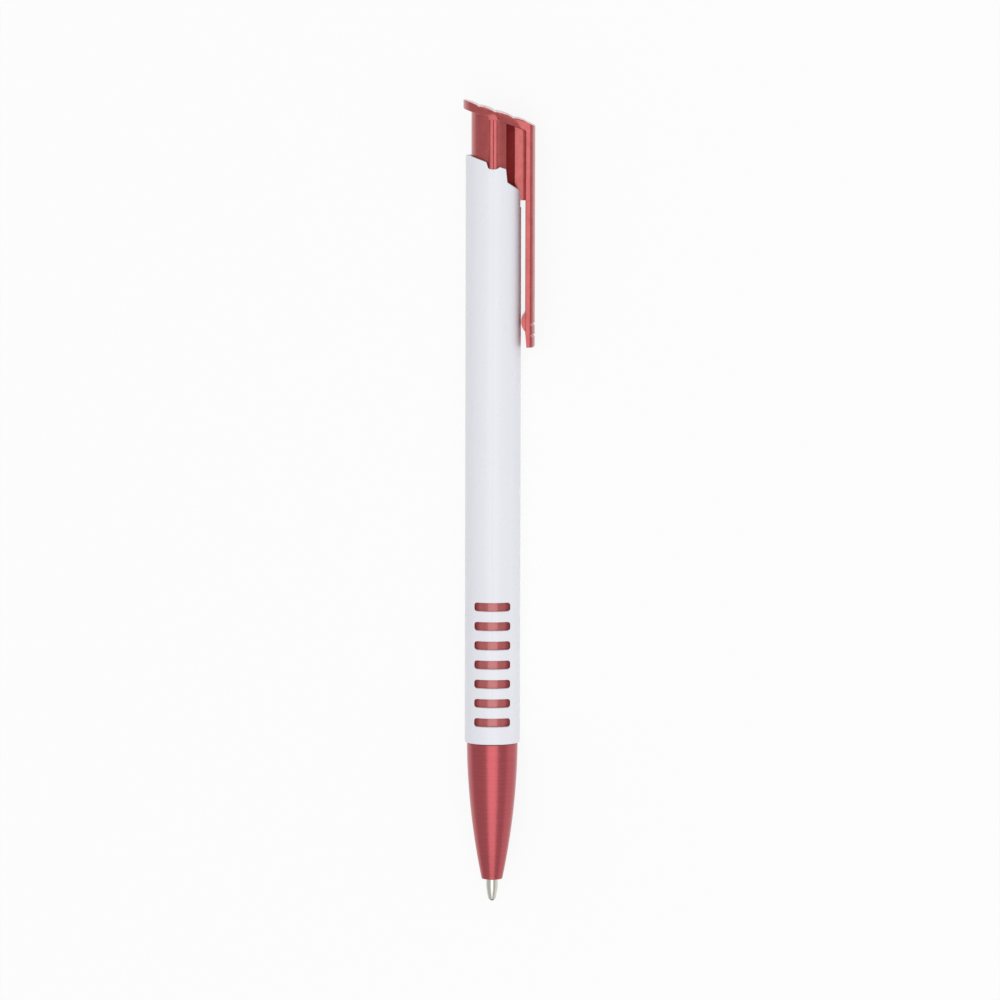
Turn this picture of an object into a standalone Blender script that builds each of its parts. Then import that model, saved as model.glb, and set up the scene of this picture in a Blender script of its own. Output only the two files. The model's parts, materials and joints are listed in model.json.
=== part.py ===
"""A click ballpoint pen whose push button and clip are one moulding, lying on a flat surface.

Every piece is modelled upright about the pen's own axis: Z runs from the writing ball at 0 up to the
button, X points from the axis to the clip, and -Y is the side with the first row of slots. One empty
then lays the whole pen down on its barrel and on the clip's lower edge.
"""

import math

import bmesh
import bpy
from mathutils import Matrix, Vector

mm = 0.001

# Clearances
RUN_GAP = 0.1 * mm  # around a piece that slides in a bore
SEAT_GAP = 0.06 * mm  # between two faces that meet
TOOTH_GAP = 0.15 * mm  # above the rotor, so that it can turn

# Travel of the button and the refill from the writing position
PRESS_TRAVEL = 1.0 * mm
RETRACT_TRAVEL = 5.0 * mm

# Writing tip and ball
BALL_RADIUS = 0.5 * mm
BALL_GAP = 0.03 * mm
BALL_LIP = 0.12 * mm  # how far the crimped lip reaches below the ball's centre
TIP_RADIUS = 1.03 * mm
TIP_TAPER_LENGTH = 3.0 * mm
TIP_TAPER = 0.52 * mm  # how much the radius shrinks towards the ball
TIP_TAPER_POWER = 1.55
TIP_LENGTH = 12.5 * mm
TIP_SHANK_RADIUS = 0.7 * mm
TIP_SHANK_LENGTH = 3.5 * mm
INK_CHANNEL_RADIUS = 0.25 * mm

# Nose cone, which goes on inside the barrel as a sleeve
TIP_REACH = 4.07 * mm  # how far the tip stands out of the nose
NOSE_LENGTH = 25.0 * mm
NOSE_EXIT_RADIUS = 1.79 * mm
NOSE_STEP = 0.47 * mm  # how far the nose lies inside the barrel's outer face
NOSE_TOP_SLOPE = 0.01
NOSE_TOP_CHAMFER = 0.22 * mm  # makes a fine groove below the barrel
NOSE_EXIT_ROUND = 0.22 * mm
NOSE_WALL = 0.85 * mm
SPRING_SEAT_RISE = 7.2 * mm  # from the nose's exit up to the shoulder that carries the spring
SLEEVE_WALL = 0.75 * mm
SLEEVE_COVER = 3.6 * mm  # how far the sleeve goes on past the last slot

# Barrel
BARREL_LENGTH = 106.4 * mm
BARREL_RADIUS = 5.0 * mm
BARREL_WALL = 0.75 * mm
BARREL_FOOT_ROUND = (0.2 * mm, 0.55 * mm)  # in from the side, and up from the foot
SLOT_COUNT = 7
SLOT_PITCH = 3.503 * mm
SLOT_HEIGHT = 1.48 * mm
SLOT_FIRST = 4.15 * mm  # from the barrel's lower end to the middle of the first slot
SLOT_HALF_WIDTH = 3.22 * mm
SLOT_CORNER = 0.5 * mm

# The barrel's top edge: level, then a slope, a dip for the guide rib and a step down beside the clip
RIM_LEVEL = 0.95 * mm  # how far the edge stays level on the side away from the clip
RIM_SLOPE = 0.364
DIP_HALF_WIDTH = 1.25 * mm
DIP_DEPTH = 0.84 * mm
STEP_X = 2.28 * mm
STEP_DEPTH = 2.38 * mm
STEP_LEAN = 0.25 * mm  # how far the step's foot lies nearer the clip than its head
STEP_RAMP = 0.696

# Click mechanism
CAM_DROP = 23.9 * mm  # from the barrel's highest point down to the tips of the cam teeth
TOOTH_HEIGHT = 0.8 * mm
CHANNEL_COUNT = 4
CHANNEL_HALF_ANGLE = math.radians(12)
CAM_RIB_REACH = 0.9 * mm  # how far the cam ribs stand in from the bore
CAM_CEILING = 1.2 * mm
LUG_HEIGHT = 1.5 * mm
LUG_REACH = 0.3 * mm
LUG_HALF_ANGLE = math.radians(8)
CROWN_WALL = 1.1 * mm
ROTOR_RIB_HALF_ANGLE = math.radians(10)
ROTOR_RIB_LENGTH = 4.3 * mm
ROTOR_SPIGOT_WALL_GAP = 0.2 * mm
ROTOR_SPIGOT_RISE = 3.2 * mm
ROTOR_SOCKET_WALL = 0.75 * mm
ROTOR_SOCKET_DEPTH = 3.2 * mm
ROTOR_NECK = 3.4 * mm  # from the socket's floor to the foot of the spigot

# Refill
TUBE_RADIUS = 1.5 * mm
TUBE_WALL = 0.4 * mm
HOLDER_RADIUS = 1.3 * mm
HOLDER_FLANGE_RADIUS = 2.1 * mm
HOLDER_FLANGE_THICKNESS = 1.0 * mm
HOLDER_SPIGOT_LENGTH = 5.0 * mm
HOLDER_CHANNEL_RADIUS = 0.45 * mm
INK_AIR_SPACE = 11.0 * mm

# Spring
SPRING_LENGTH = 15.9 * mm  # in the writing position
SPRING_WIRE_RADIUS = 0.2 * mm
SPRING_RADIUS = 1.9 * mm
SPRING_TURNS = 11
SPRING_END_PITCH = 0.95 * mm
SPRING_POINTS = 9  # to a turn

# Button
BUTTON_RISE = 10.12 * mm  # from the barrel's highest point to the button's
BUTTON_SLOPE = 0.342
PLATE_THICKNESS = 1.7 * mm
PLATE_OVERHANG = 1.35 * mm  # of the thumb lip past the button's body
PLATE_HALF_WIDTH = 4.6 * mm
PLATE_LIP_LENGTH = 3.2 * mm  # of the lip's round end
PLATE_END_LENGTH = 1.6 * mm  # of the steeper stretch above the clip
PLATE_END_DROP = 0.25 * mm
PLATE_TAPER_START = 1.2 * mm
BODY_FLAT = 2.3 * mm  # from the axis to the flat that faces the clip
BODY_BORE_RADIUS = 1.5 * mm
BODY_ROOF = 2.4 * mm
GROOVE_DEPTH = 0.22 * mm
GROOVE_HALF_WIDTH = 0.32 * mm
TOP_GROOVES = (-2.64 * mm, 0.19 * mm, 3.56 * mm)
CUSHION_CROWN = 0.1 * mm
GUIDE_RIB_HALF_WIDTH = 0.88 * mm
GUIDE_RIB_REACH = 0.4 * mm
GUIDE_RIB_SEAM = 0.1 * mm
GUIDE_RIB_TOP_GAP = 0.1 * mm
WEB_HALF_WIDTH = 0.65 * mm
BLOCK_HALF_WIDTH = 1.4 * mm
BLOCK_START = 3.7 * mm
BLOCK_DROP = 8.07 * mm  # from the barrel's highest point down to the foot of the block

# Clip
CLIP_LENGTH = 40.2 * mm  # from the button's lowest top corner to the clip's end
CLIP_GAP = 0.78 * mm
CLIP_THICKNESS = 1.72 * mm  # at the flat strip down its middle
CLIP_HALF_WIDTH = 3.1 * mm
CLIP_FLAT_HALF_WIDTH = 1.2 * mm
CLIP_EDGE_ROUND = 0.25 * mm
CLIP_END_ROUND = 0.45 * mm
CLIP_END_FLARE = 0.22 * mm
CLIP_FLARE_LENGTH = 3.2 * mm
CLIP_GROOVES = (2.15 * mm, 4.2 * mm)  # up from the clip's end
CLIP_GROOVE_DEPTH = 0.3 * mm
NUB_RADIUS = 2.5 * mm
NUB_RISE = 4.63 * mm
MOULD_ROUND = 0.1 * mm

# Fineness of the round shapes
ROUND_STEPS = 48
SMALL_STEPS = 24
BALL_STEPS = 16

# Places along the axis that follow from the sizes above
NOSE_EXIT = TIP_REACH
NOSE_TOP = NOSE_EXIT + NOSE_LENGTH
SPRING_SEAT = NOSE_EXIT + SPRING_SEAT_RISE
BARREL_FOOT = NOSE_TOP + SEAT_GAP
BARREL_TOP = BARREL_FOOT + BARREL_LENGTH
SLEEVE_TOP = BARREL_FOOT + SLOT_FIRST + (SLOT_COUNT - 1) * SLOT_PITCH + SLOT_HEIGHT / 2 + SLEEVE_COVER
CAM_TIPS = BARREL_TOP - CAM_DROP
ROTOR_TOP = CAM_TIPS - TOOTH_GAP
CEILING_FOOT = CAM_TIPS + LUG_HEIGHT + RETRACT_TRAVEL + RUN_GAP
CEILING_TOP = CEILING_FOOT + CAM_CEILING
BODY_FOOT = CEILING_TOP + PRESS_TRAVEL + 2 * RUN_GAP
BLOCK_FOOT = BARREL_TOP - BLOCK_DROP
SPIGOT_FOOT = ROTOR_TOP - 0.5 * TOOTH_HEIGHT
TUBE_TOP = SPIGOT_FOOT - ROTOR_NECK
FLANGE_FOOT = SPRING_SEAT + SPRING_LENGTH
FLANGE_TOP = FLANGE_FOOT + HOLDER_FLANGE_THICKNESS
TUBE_FOOT = FLANGE_TOP + SEAT_GAP
BUTTON_TOP = BARREL_TOP + BUTTON_RISE

# Radii and distances from the axis that follow
BORE = BARREL_RADIUS - BARREL_WALL
SLEEVE_RADIUS = BORE - RUN_GAP
SLEEVE_BORE = SLEEVE_RADIUS - SLEEVE_WALL
NOSE_RADIUS = BARREL_RADIUS - NOSE_STEP
TIP_BORE = TIP_RADIUS + RUN_GAP
SPRING_BORE = SPRING_RADIUS + SPRING_WIRE_RADIUS + RUN_GAP
BODY_RADIUS = BORE - 1.5 * RUN_GAP
CAM_RIB_FACE = BORE - CAM_RIB_REACH
CROWN_RADIUS = CAM_RIB_FACE - 1.5 * RUN_GAP
CROWN_BORE = CROWN_RADIUS - CROWN_WALL
ROTOR_SPIGOT_RADIUS = CROWN_BORE - ROTOR_SPIGOT_WALL_GAP
ROTOR_RIB_RADIUS = BORE - 2 * RUN_GAP
ROTOR_SOCKET = TUBE_RADIUS + RUN_GAP
TUBE_BORE = TUBE_RADIUS - TUBE_WALL
CLIP_INNER = BARREL_RADIUS + CLIP_GAP
CLIP_OUTER = CLIP_INNER + CLIP_THICKNESS
CLIP_CROWN_RADIUS = math.hypot(CLIP_OUTER, CLIP_FLAT_HALF_WIDTH)  # beside the flat strip, about the pen's axis
PLATE_LEFT = -(BODY_RADIUS + PLATE_OVERHANG)
GUIDE_RIB_FACE = BODY_RADIUS + GUIDE_RIB_REACH
CLIP_END = BUTTON_TOP - BUTTON_SLOPE * (CLIP_OUTER - PLATE_LEFT) - CLIP_LENGTH

# How far the pen rolls towards its clip until the clip's rounded edge meets the surface that the
# barrel lies on
EDGE_SIDE = CLIP_HALF_WIDTH - CLIP_EDGE_ROUND
EDGE_CENTRE = Vector((math.sqrt((CLIP_CROWN_RADIUS - CLIP_EDGE_ROUND) ** 2 - EDGE_SIDE**2), EDGE_SIDE))
LEAN = math.asin((BARREL_RADIUS - CLIP_EDGE_ROUND) / EDGE_CENTRE.length) - math.atan2(EDGE_CENTRE.y, EDGE_CENTRE.x)


def clear_scene():
    for obj in list(bpy.data.objects):
        bpy.data.objects.remove(obj, do_unlink=True)


def material(name, colour, roughness, metallic=0.0):
    made = bpy.data.materials.new(name)
    made.use_nodes = True
    shader = made.node_tree.nodes["Principled BSDF"]
    shader.inputs["Base Color"].default_value = (*colour, 1.0)
    shader.inputs["Roughness"].default_value = roughness
    shader.inputs["Metallic"].default_value = metallic
    return made


def add_object(name, data, parent=None):
    obj = bpy.data.objects.new(name, data)
    bpy.context.scene.collection.objects.link(obj)
    obj.parent = parent
    return obj


def as_helper(obj):
    """A cutter, or a shape that is joined to a piece, is not a piece itself."""
    obj.hide_render = True
    obj.display_type = "WIRE"
    return obj


def object_from(name, mesh_builder, parent):
    """An object whose mesh is what mesh_builder adds to an empty bmesh, with its faces pointing out."""
    shape = bmesh.new()
    mesh_builder(shape)
    bmesh.ops.recalc_face_normals(shape, faces=shape.faces)
    mesh = bpy.data.meshes.new(name)
    shape.to_mesh(mesh)
    shape.free()
    mesh.shade_smooth()
    mesh.set_sharp_from_angle(angle=math.radians(30))
    return add_object(name, mesh, parent)


def turned(name, profile, steps, parent, height=0.0, closed=True):
    """A profile of (radius, height) points, down its outside and up its bore, turned about Z."""
    points = [(radius, 0, level - height) for radius, level in profile]
    edges = [(i, i + 1) for i in range(len(points) - 1)]
    if closed:
        edges.append((len(points) - 1, 0))
    mesh = bpy.data.meshes.new(name)
    mesh.from_pydata(points, edges, [])
    obj = add_object(name, mesh, parent)
    obj.location.z = height
    screw = obj.modifiers.new("Turn", "SCREW")
    screw.axis = "Z"
    screw.steps = steps
    screw.render_steps = steps
    screw.use_merge_vertices = True
    screw.merge_threshold = 0.000001
    screw.use_smooth_shade = True
    return obj


def boolean(obj, operation, other):
    modifier = obj.modifiers.new(other.name, "BOOLEAN")
    modifier.operation = operation
    modifier.solver = "EXACT"
    modifier.object = as_helper(other)


def add_prism(shape, outline, low, high, place):
    """Adds an outline drawn out from low to high. place turns (u, v, height) into a point, and low
    and high are heights, or functions that give the height above (u, v)."""
    ends = []
    for level in (low, high):
        heights = [level(u, v) if callable(level) else level for u, v in outline]
        ends.append([shape.verts.new(place(u, v, h)) for (u, v), h in zip(outline, heights)])
    foot, head = ends
    shape.faces.new(foot)
    shape.faces.new(head)
    for i in range(len(outline)):
        j = (i + 1) % len(outline)
        shape.faces.new((foot[i], foot[j], head[j], head[i]))


def along_z(u, v, height):
    return Vector((u, v, height))


def along_y(u, v, height):
    return Vector((u, height, v))


def prism(name, outline, low, high, parent, place=along_z):
    return object_from(name, lambda shape: add_prism(shape, outline, low, high, place), parent)


def add_curved_block(shape, stations, inner, outer, ring=False):
    """Adds a block between two radii whose foot and head follow stations of (angle, low, high)."""
    rows = []
    for angle, low, high in stations:
        across = Vector((math.cos(angle), math.sin(angle), 0))
        corners = ((inner, low), (outer, low), (outer, high), (inner, high))
        rows.append([shape.verts.new(across * radius + Vector((0, 0, level))) for radius, level in corners])
    for i in range(len(rows) if ring else len(rows) - 1):
        here, following = rows[i], rows[(i + 1) % len(rows)]
        for k in range(4):
            m = (k + 1) % 4
            shape.faces.new((here[k], here[m], following[m], following[k]))
    if not ring:
        shape.faces.new(rows[0])
        shape.faces.new(rows[-1])


def arc(centre, radii, start, end, steps):
    """Points on an ellipse's arc, its two ends included."""
    points = []
    for i in range(steps + 1):
        angle = start + (end - start) * i / steps
        points.append((centre[0] + radii[0] * math.cos(angle), centre[1] + radii[1] * math.sin(angle)))
    return points


def box_outline(x_low, x_high, y_low, y_high):
    return [(x_low, y_low), (x_high, y_low), (x_high, y_high), (x_low, y_high)]


def button_top(x, y=0):
    """Height of the button's slanted top above a point."""
    return BUTTON_TOP - BUTTON_SLOPE * (x - PLATE_LEFT)


def inside_plate(x, y=0):
    """Height of the middle of the button's top plate, where the pieces below it end."""
    return button_top(x) - 0.5 * PLATE_THICKNESS


def nose_radius(level):
    """The nose's outer radius: nearly straight at the barrel, ever steeper towards the exit."""
    drop = NOSE_TOP - level
    shrink = NOSE_RADIUS - NOSE_EXIT_RADIUS
    end_slope = 2 * shrink / NOSE_LENGTH - NOSE_TOP_SLOPE
    return NOSE_RADIUS - NOSE_TOP_SLOPE * drop - (end_slope - NOSE_TOP_SLOPE) * drop**2 / (2 * NOSE_LENGTH)


def make_nose_cone(pen):
    steps = 12
    outside = [(SLEEVE_RADIUS - 0.5 * RUN_GAP, SLEEVE_TOP), (SLEEVE_RADIUS, SLEEVE_TOP - RUN_GAP)]
    outside += [(SLEEVE_RADIUS, NOSE_TOP), (NOSE_RADIUS - NOSE_TOP_CHAMFER, NOSE_TOP)]
    highest = NOSE_TOP - NOSE_TOP_CHAMFER
    lowest = NOSE_EXIT + NOSE_EXIT_ROUND
    for i in range(steps + 1):
        level = highest + (lowest - highest) * i / steps
        outside.append((nose_radius(level), level))
    rim = nose_radius(lowest) - NOSE_EXIT_ROUND
    outside += arc((rim, lowest), (NOSE_EXIT_ROUND, NOSE_EXIT_ROUND), -math.pi / 6, -math.pi / 2, 2)
    bore = [(TIP_BORE, NOSE_EXIT), (TIP_BORE, SPRING_SEAT), (SPRING_BORE, SPRING_SEAT)]
    bore += [(SPRING_BORE, SPRING_SEAT + 2 * NOSE_WALL), (SLEEVE_BORE, NOSE_TOP - NOSE_WALL)]
    bore += [(SLEEVE_BORE, SLEEVE_TOP)]
    obj = turned("nose_cone", outside + bore, ROUND_STEPS, pen)
    obj.data.materials.append(material("satin metallic red", (0.42, 0.06, 0.07), 0.36, 0.75))


def rim_height(x):
    """Height of the barrel's sloping top edge, without its level end, its dip and its step."""
    return BARREL_TOP - RIM_SLOPE * (x + BARREL_RADIUS - RIM_LEVEL)


def rim_outline():
    """What is cut off above the barrel's top edge, seen from the slots' side."""
    margin = BARREL_RADIUS
    far = BARREL_RADIUS + margin
    step_top = rim_height(STEP_X)
    step_foot = step_top - STEP_DEPTH
    dip_floor = rim_height(0) - DIP_DEPTH
    dip_round = 0.5 * DIP_HALF_WIDTH
    outline = [(-far, BARREL_TOP), (RIM_LEVEL - BARREL_RADIUS, BARREL_TOP)]
    outline += [(-DIP_HALF_WIDTH, rim_height(-DIP_HALF_WIDTH))]
    outline += arc((0, dip_floor + 0.5 * dip_round), (1.5 * dip_round, 0.5 * dip_round), math.pi, 2 * math.pi, 6)
    outline += [(DIP_HALF_WIDTH, rim_height(DIP_HALF_WIDTH)), (STEP_X, step_top)]
    foot_x = STEP_X + STEP_LEAN
    outline += [(foot_x, step_foot), (far, step_foot - STEP_RAMP * (far - foot_x))]
    return outline + [(far, BARREL_TOP + margin), (-far, BARREL_TOP + margin)]


def slot_outline(middle):
    """A finger slot seen from its own side: a bar with round corners."""
    outline = []
    for number, (side, end) in enumerate(((1, 1), (-1, 1), (-1, -1), (1, -1))):
        corner = (side * (SLOT_HALF_WIDTH - SLOT_CORNER), middle + end * (SLOT_HEIGHT / 2 - SLOT_CORNER))
        start = number * math.pi / 2
        outline += arc(corner, (SLOT_CORNER, SLOT_CORNER), start, start + math.pi / 2, 4)
    return outline


def add_slots(shape):
    """Cutters for both rows of slots, which go straight through the wall as the mould's cores do."""
    for side in (-1, 1):
        for i in range(SLOT_COUNT):
            outline = slot_outline(BARREL_FOOT + SLOT_FIRST + i * SLOT_PITCH)
            add_prism(shape, outline, side * 0.5 * BORE, side * 2 * BARREL_RADIUS, along_y)


def add_cam(shape):
    """The ceiling ring and the ribs below it, whose slanted teeth turn and hold the rotor."""
    rib_span = 2 * math.pi / CHANNEL_COUNT - 2 * CHANNEL_HALF_ANGLE
    steps = 4
    stations = []
    for k in range(CHANNEL_COUNT):
        channel = 2 * math.pi * k / CHANNEL_COUNT
        rib = channel + CHANNEL_HALF_ANGLE
        edge = math.radians(0.4)
        stations += [(channel, CEILING_FOOT), (rib - edge, CEILING_FOOT)]
        for tooth in range(2):
            for i in range(steps + 1):
                share = i / steps
                angle = rib + rib_span * (tooth + share) / 2 + (edge if share == 0 else -edge)
                stations.append((angle, CAM_TIPS + TOOTH_HEIGHT * share))
        stations.append((rib + rib_span + edge, CEILING_FOOT))
    rows = [(angle, low, CEILING_TOP) for angle, low in stations]
    add_curved_block(shape, rows, CAM_RIB_FACE, BORE + 0.4 * BARREL_WALL, ring=True)


def make_barrel(pen):
    uncut_top = BARREL_TOP + BARREL_WALL
    inset, rise = BARREL_FOOT_ROUND
    profile = [(BARREL_RADIUS, uncut_top), (BARREL_RADIUS, CAM_TIPS), (BARREL_RADIUS, SLEEVE_TOP)]
    profile += arc((BARREL_RADIUS - inset, BARREL_FOOT + rise), (inset, rise), 0, -math.pi / 2, 3)
    profile += [(BORE, BARREL_FOOT), (BORE, uncut_top)]
    obj = turned("barrel", profile, ROUND_STEPS, pen)
    boolean(obj, "UNION", object_from("cam", add_cam, pen))
    wide = 2 * BARREL_RADIUS
    boolean(obj, "DIFFERENCE", prism("rim cutter", rim_outline(), -wide, wide, pen, along_y))
    slot_foot = BLOCK_FOOT - PRESS_TRAVEL - 3 * RUN_GAP
    slot_half = BLOCK_HALF_WIDTH + 1.5 * RUN_GAP
    slot = box_outline(BODY_FLAT, wide, -slot_half, slot_half)
    boolean(obj, "DIFFERENCE", prism("clip slot cutter", slot, slot_foot, BARREL_TOP + wide, pen))
    groove_half = GUIDE_RIB_HALF_WIDTH + RUN_GAP
    groove_face = GUIDE_RIB_FACE + RUN_GAP
    groove = box_outline(-groove_half, groove_half, -groove_face, groove_face)
    groove_foot = BODY_FOOT - PRESS_TRAVEL - RUN_GAP
    boolean(obj, "DIFFERENCE", prism("guide groove cutter", groove, groove_foot, BARREL_TOP + wide, pen))
    boolean(obj, "DIFFERENCE", object_from("slot cutters", add_slots, pen))
    obj.data.materials.append(material("white plastic", (0.83, 0.83, 0.88), 0.3))


def button_outline():
    """The plate and the clip from the side: a slanted top with three grooves, and the clip hanging from its
    low end."""
    outline = []
    starts = [PLATE_LEFT] + [x + GROOVE_HALF_WIDTH for x in TOP_GROOVES]
    ends = [x - GROOVE_HALF_WIDTH for x in TOP_GROOVES] + [CLIP_OUTER - PLATE_END_LENGTH]
    steps = 4
    for number, (start, end) in enumerate(zip(starts, ends)):
        for i in range(steps + 1):
            x = start + (end - start) * i / steps
            crown = CUSHION_CROWN * (4 * i / steps * (1 - i / steps) - 1)
            outline.append((x, button_top(x) + crown))
        if number < len(TOP_GROOVES):
            x = TOP_GROOVES[number]
            outline.append((x, button_top(x) - CUSHION_CROWN - GROOVE_DEPTH))
    outline.append((CLIP_OUTER, button_top(CLIP_OUTER) - CUSHION_CROWN - PLATE_END_DROP))
    corner = (CLIP_OUTER - CLIP_END_ROUND, CLIP_END + CLIP_END_ROUND)
    outline += arc(corner, (CLIP_END_ROUND, CLIP_END_ROUND), 0, -math.pi / 2, 3)
    outline += [(CLIP_INNER + CLIP_END_FLARE, CLIP_END), (CLIP_INNER, CLIP_END + CLIP_FLARE_LENGTH)]
    outline += [(CLIP_INNER, button_top(CLIP_INNER) - PLATE_THICKNESS)]
    return outline + [(PLATE_LEFT, button_top(PLATE_LEFT) - PLATE_THICKNESS)]


def plan_outline():
    """The plate and the clip from above: a rounded thumb lip that narrows to the clip's width, and the
    clip's outer face, a flat strip between two shoulders that curve about the pen's axis."""
    lip = (PLATE_LEFT + PLATE_LIP_LENGTH, 0)
    half = arc(lip, (PLATE_LIP_LENGTH, PLATE_HALF_WIDTH), math.pi, math.pi / 2, 10)
    half += [(PLATE_TAPER_START, PLATE_HALF_WIDTH), (CLIP_INNER - MOULD_ROUND, CLIP_HALF_WIDTH)]
    edge = math.atan2(EDGE_CENTRE.y, EDGE_CENTRE.x)
    half += arc(EDGE_CENTRE, (CLIP_EDGE_ROUND, CLIP_EDGE_ROUND), math.pi / 2, edge, 3)
    flat = math.atan2(CLIP_FLAT_HALF_WIDTH, CLIP_OUTER)
    half += arc((0, 0), (CLIP_CROWN_RADIUS, CLIP_CROWN_RADIUS), edge, flat, 3)[1:]
    return half + [(x, -y) for x, y in reversed(half[1:])]


def add_clip_grooves(shape):
    """Cutters for the grooves near the clip's end, which follow the curve of its outer face."""
    reach = 1.5 * math.atan2(CLIP_HALF_WIDTH, CLIP_INNER)
    steps = 8
    for rise in CLIP_GROOVES:
        low = CLIP_END + rise - GROOVE_HALF_WIDTH
        rows = [(reach * (2 * i / steps - 1), low, low + 2 * GROOVE_HALF_WIDTH) for i in range(steps + 1)]
        add_curved_block(shape, rows, CLIP_CROWN_RADIUS - CLIP_GROOVE_DEPTH, CLIP_CROWN_RADIUS + CLIP_THICKNESS)


def body_outline():
    """The button's body: a round with a flat that faces the clip."""
    flat = math.acos(BODY_FLAT / BODY_RADIUS)
    return arc((0, 0), (BODY_RADIUS, BODY_RADIUS), flat, 2 * math.pi - flat, ROUND_STEPS - 10)


def guide_rib_outline(side):
    """A guide rib: two rounded beads with a fine seam between them."""
    round_size = 0.3 * GUIDE_RIB_HALF_WIDTH
    root = 0.9 * BODY_RADIUS
    half = [(GUIDE_RIB_HALF_WIDTH, root), (GUIDE_RIB_HALF_WIDTH, GUIDE_RIB_FACE - round_size)]
    corner = (GUIDE_RIB_HALF_WIDTH - round_size, GUIDE_RIB_FACE - round_size)
    half += arc(corner, (round_size, round_size), math.pi / 6, math.pi / 2, 2)
    half += [(GUIDE_RIB_SEAM, GUIDE_RIB_FACE)]
    whole = half + [(0, GUIDE_RIB_FACE - GUIDE_RIB_SEAM)] + [(-x, y) for x, y in reversed(half)]
    return [(x, side * y) for x, y in whole]


def add_crown(shape):
    """The stem's foot: a ring of teeth that point down, two to each channel of the barrel."""
    teeth = 2 * CHANNEL_COUNT
    per_tooth = 8
    stations = []
    for i in range(teeth * per_tooth):
        share = (i % per_tooth) / per_tooth
        rise = TOOTH_HEIGHT * abs(2 * share - 1)
        stations.append((2 * math.pi * i / (teeth * per_tooth), CAM_TIPS + rise, BODY_FOOT + CROWN_WALL))
    add_curved_block(shape, stations, CROWN_BORE, CROWN_RADIUS, ring=True)


def add_lugs(shape):
    """Snap lugs on the stem that run in the channels and stop at the ceiling."""
    for k in range(CHANNEL_COUNT):
        channel = 2 * math.pi * k / CHANNEL_COUNT
        foot = CAM_TIPS + TOOTH_HEIGHT + RUN_GAP
        rows = [(channel + a, foot, CAM_TIPS + LUG_HEIGHT) for a in (-LUG_HALF_ANGLE, LUG_HALF_ANGLE)]
        add_curved_block(shape, rows, CROWN_RADIUS - 0.5 * CROWN_WALL, CROWN_RADIUS + LUG_REACH)


def make_nub(pen):
    """A shallow dome on the clip's inner face that bears on the barrel."""
    apex = BARREL_RADIUS + SEAT_GAP
    height = CLIP_INNER - apex + 0.5 * CLIP_THICKNESS
    steps = 7
    widest = math.acos(1 - height / NUB_RADIUS)
    profile = [(0, 0)]
    for i in range(steps + 1):
        angle = widest * (1 - i / steps)
        profile.append((NUB_RADIUS * math.sin(angle), NUB_RADIUS * (math.cos(angle) - 1) + height))
    nub = turned("nub", profile[::-1], SMALL_STEPS, pen, closed=False)
    nub.rotation_euler = (0, -math.pi / 2, 0)
    nub.location = (apex + height, 0, CLIP_END + NUB_RISE)
    return nub


def make_plunger_clip(pen):
    wide = 2 * BARREL_RADIUS
    obj = prism("plunger_clip", button_outline(), -wide, wide, pen, along_y)
    plan = prism("button plan", plan_outline(), CLIP_END - wide, BUTTON_TOP + wide, pen)
    boolean(obj, "INTERSECT", plan)
    soften = obj.modifiers.new("Moulded edges", "BEVEL")
    soften.width = MOULD_ROUND
    soften.segments = 2
    soften.limit_method = "ANGLE"
    soften.angle_limit = math.radians(65)  # leaves the grooves in the top as they are
    boolean(obj, "DIFFERENCE", object_from("clip grooves", add_clip_grooves, pen))
    boolean(obj, "UNION", prism("button body", body_outline(), BODY_FOOT, inside_plate, pen))
    web = box_outline(0.5 * BODY_FLAT, BLOCK_START + MOULD_ROUND, -WEB_HALF_WIDTH, WEB_HALF_WIDTH)
    boolean(obj, "UNION", prism("web", web, BLOCK_FOOT + 2 * MOULD_ROUND, inside_plate, pen))
    block_end = CLIP_INNER + 0.3 * CLIP_THICKNESS
    block = box_outline(BLOCK_START, block_end, -BLOCK_HALF_WIDTH, BLOCK_HALF_WIDTH)
    boolean(obj, "UNION", prism("clip block", block, BLOCK_FOOT, inside_plate, pen))
    for side, name in ((-1, "front guide rib"), (1, "back guide rib")):
        rib_top = button_top(0) - PLATE_THICKNESS - GUIDE_RIB_TOP_GAP
        rib_foot = BODY_FOOT + 2 * MOULD_ROUND
        boolean(obj, "UNION", prism(name, guide_rib_outline(side), rib_foot, rib_top, pen))
    boolean(obj, "UNION", make_nub(pen))
    boolean(obj, "UNION", object_from("crown", add_crown, pen))
    boolean(obj, "UNION", object_from("lugs", add_lugs, pen))
    bore_roof = inside_plate(BODY_BORE_RADIUS) - BODY_ROOF
    bore_outline = arc((0, 0), (BODY_BORE_RADIUS, BODY_BORE_RADIUS), 0, 2 * math.pi, SMALL_STEPS)[:-1]
    boolean(obj, "DIFFERENCE", prism("button bore", bore_outline, BODY_FOOT - wide, bore_roof, pen))
    obj.data.materials.append(material("red plastic", (0.45, 0.06, 0.06), 0.32))


def add_rotor_ribs(shape):
    slope = TOOTH_HEIGHT / (math.pi / CHANNEL_COUNT - CHANNEL_HALF_ANGLE)
    for k in range(CHANNEL_COUNT):
        rows = []
        for share in (-1, -0.5, 0, 0.5, 1):
            angle = share * ROTOR_RIB_HALF_ANGLE
            top = ROTOR_TOP - slope * (ROTOR_RIB_HALF_ANGLE - angle)
            rows.append((2 * math.pi * k / CHANNEL_COUNT + angle, ROTOR_TOP - ROTOR_RIB_LENGTH, top))
        add_curved_block(shape, rows, 0.8 * ROTOR_SPIGOT_RADIUS, ROTOR_RIB_RADIUS)


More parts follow.
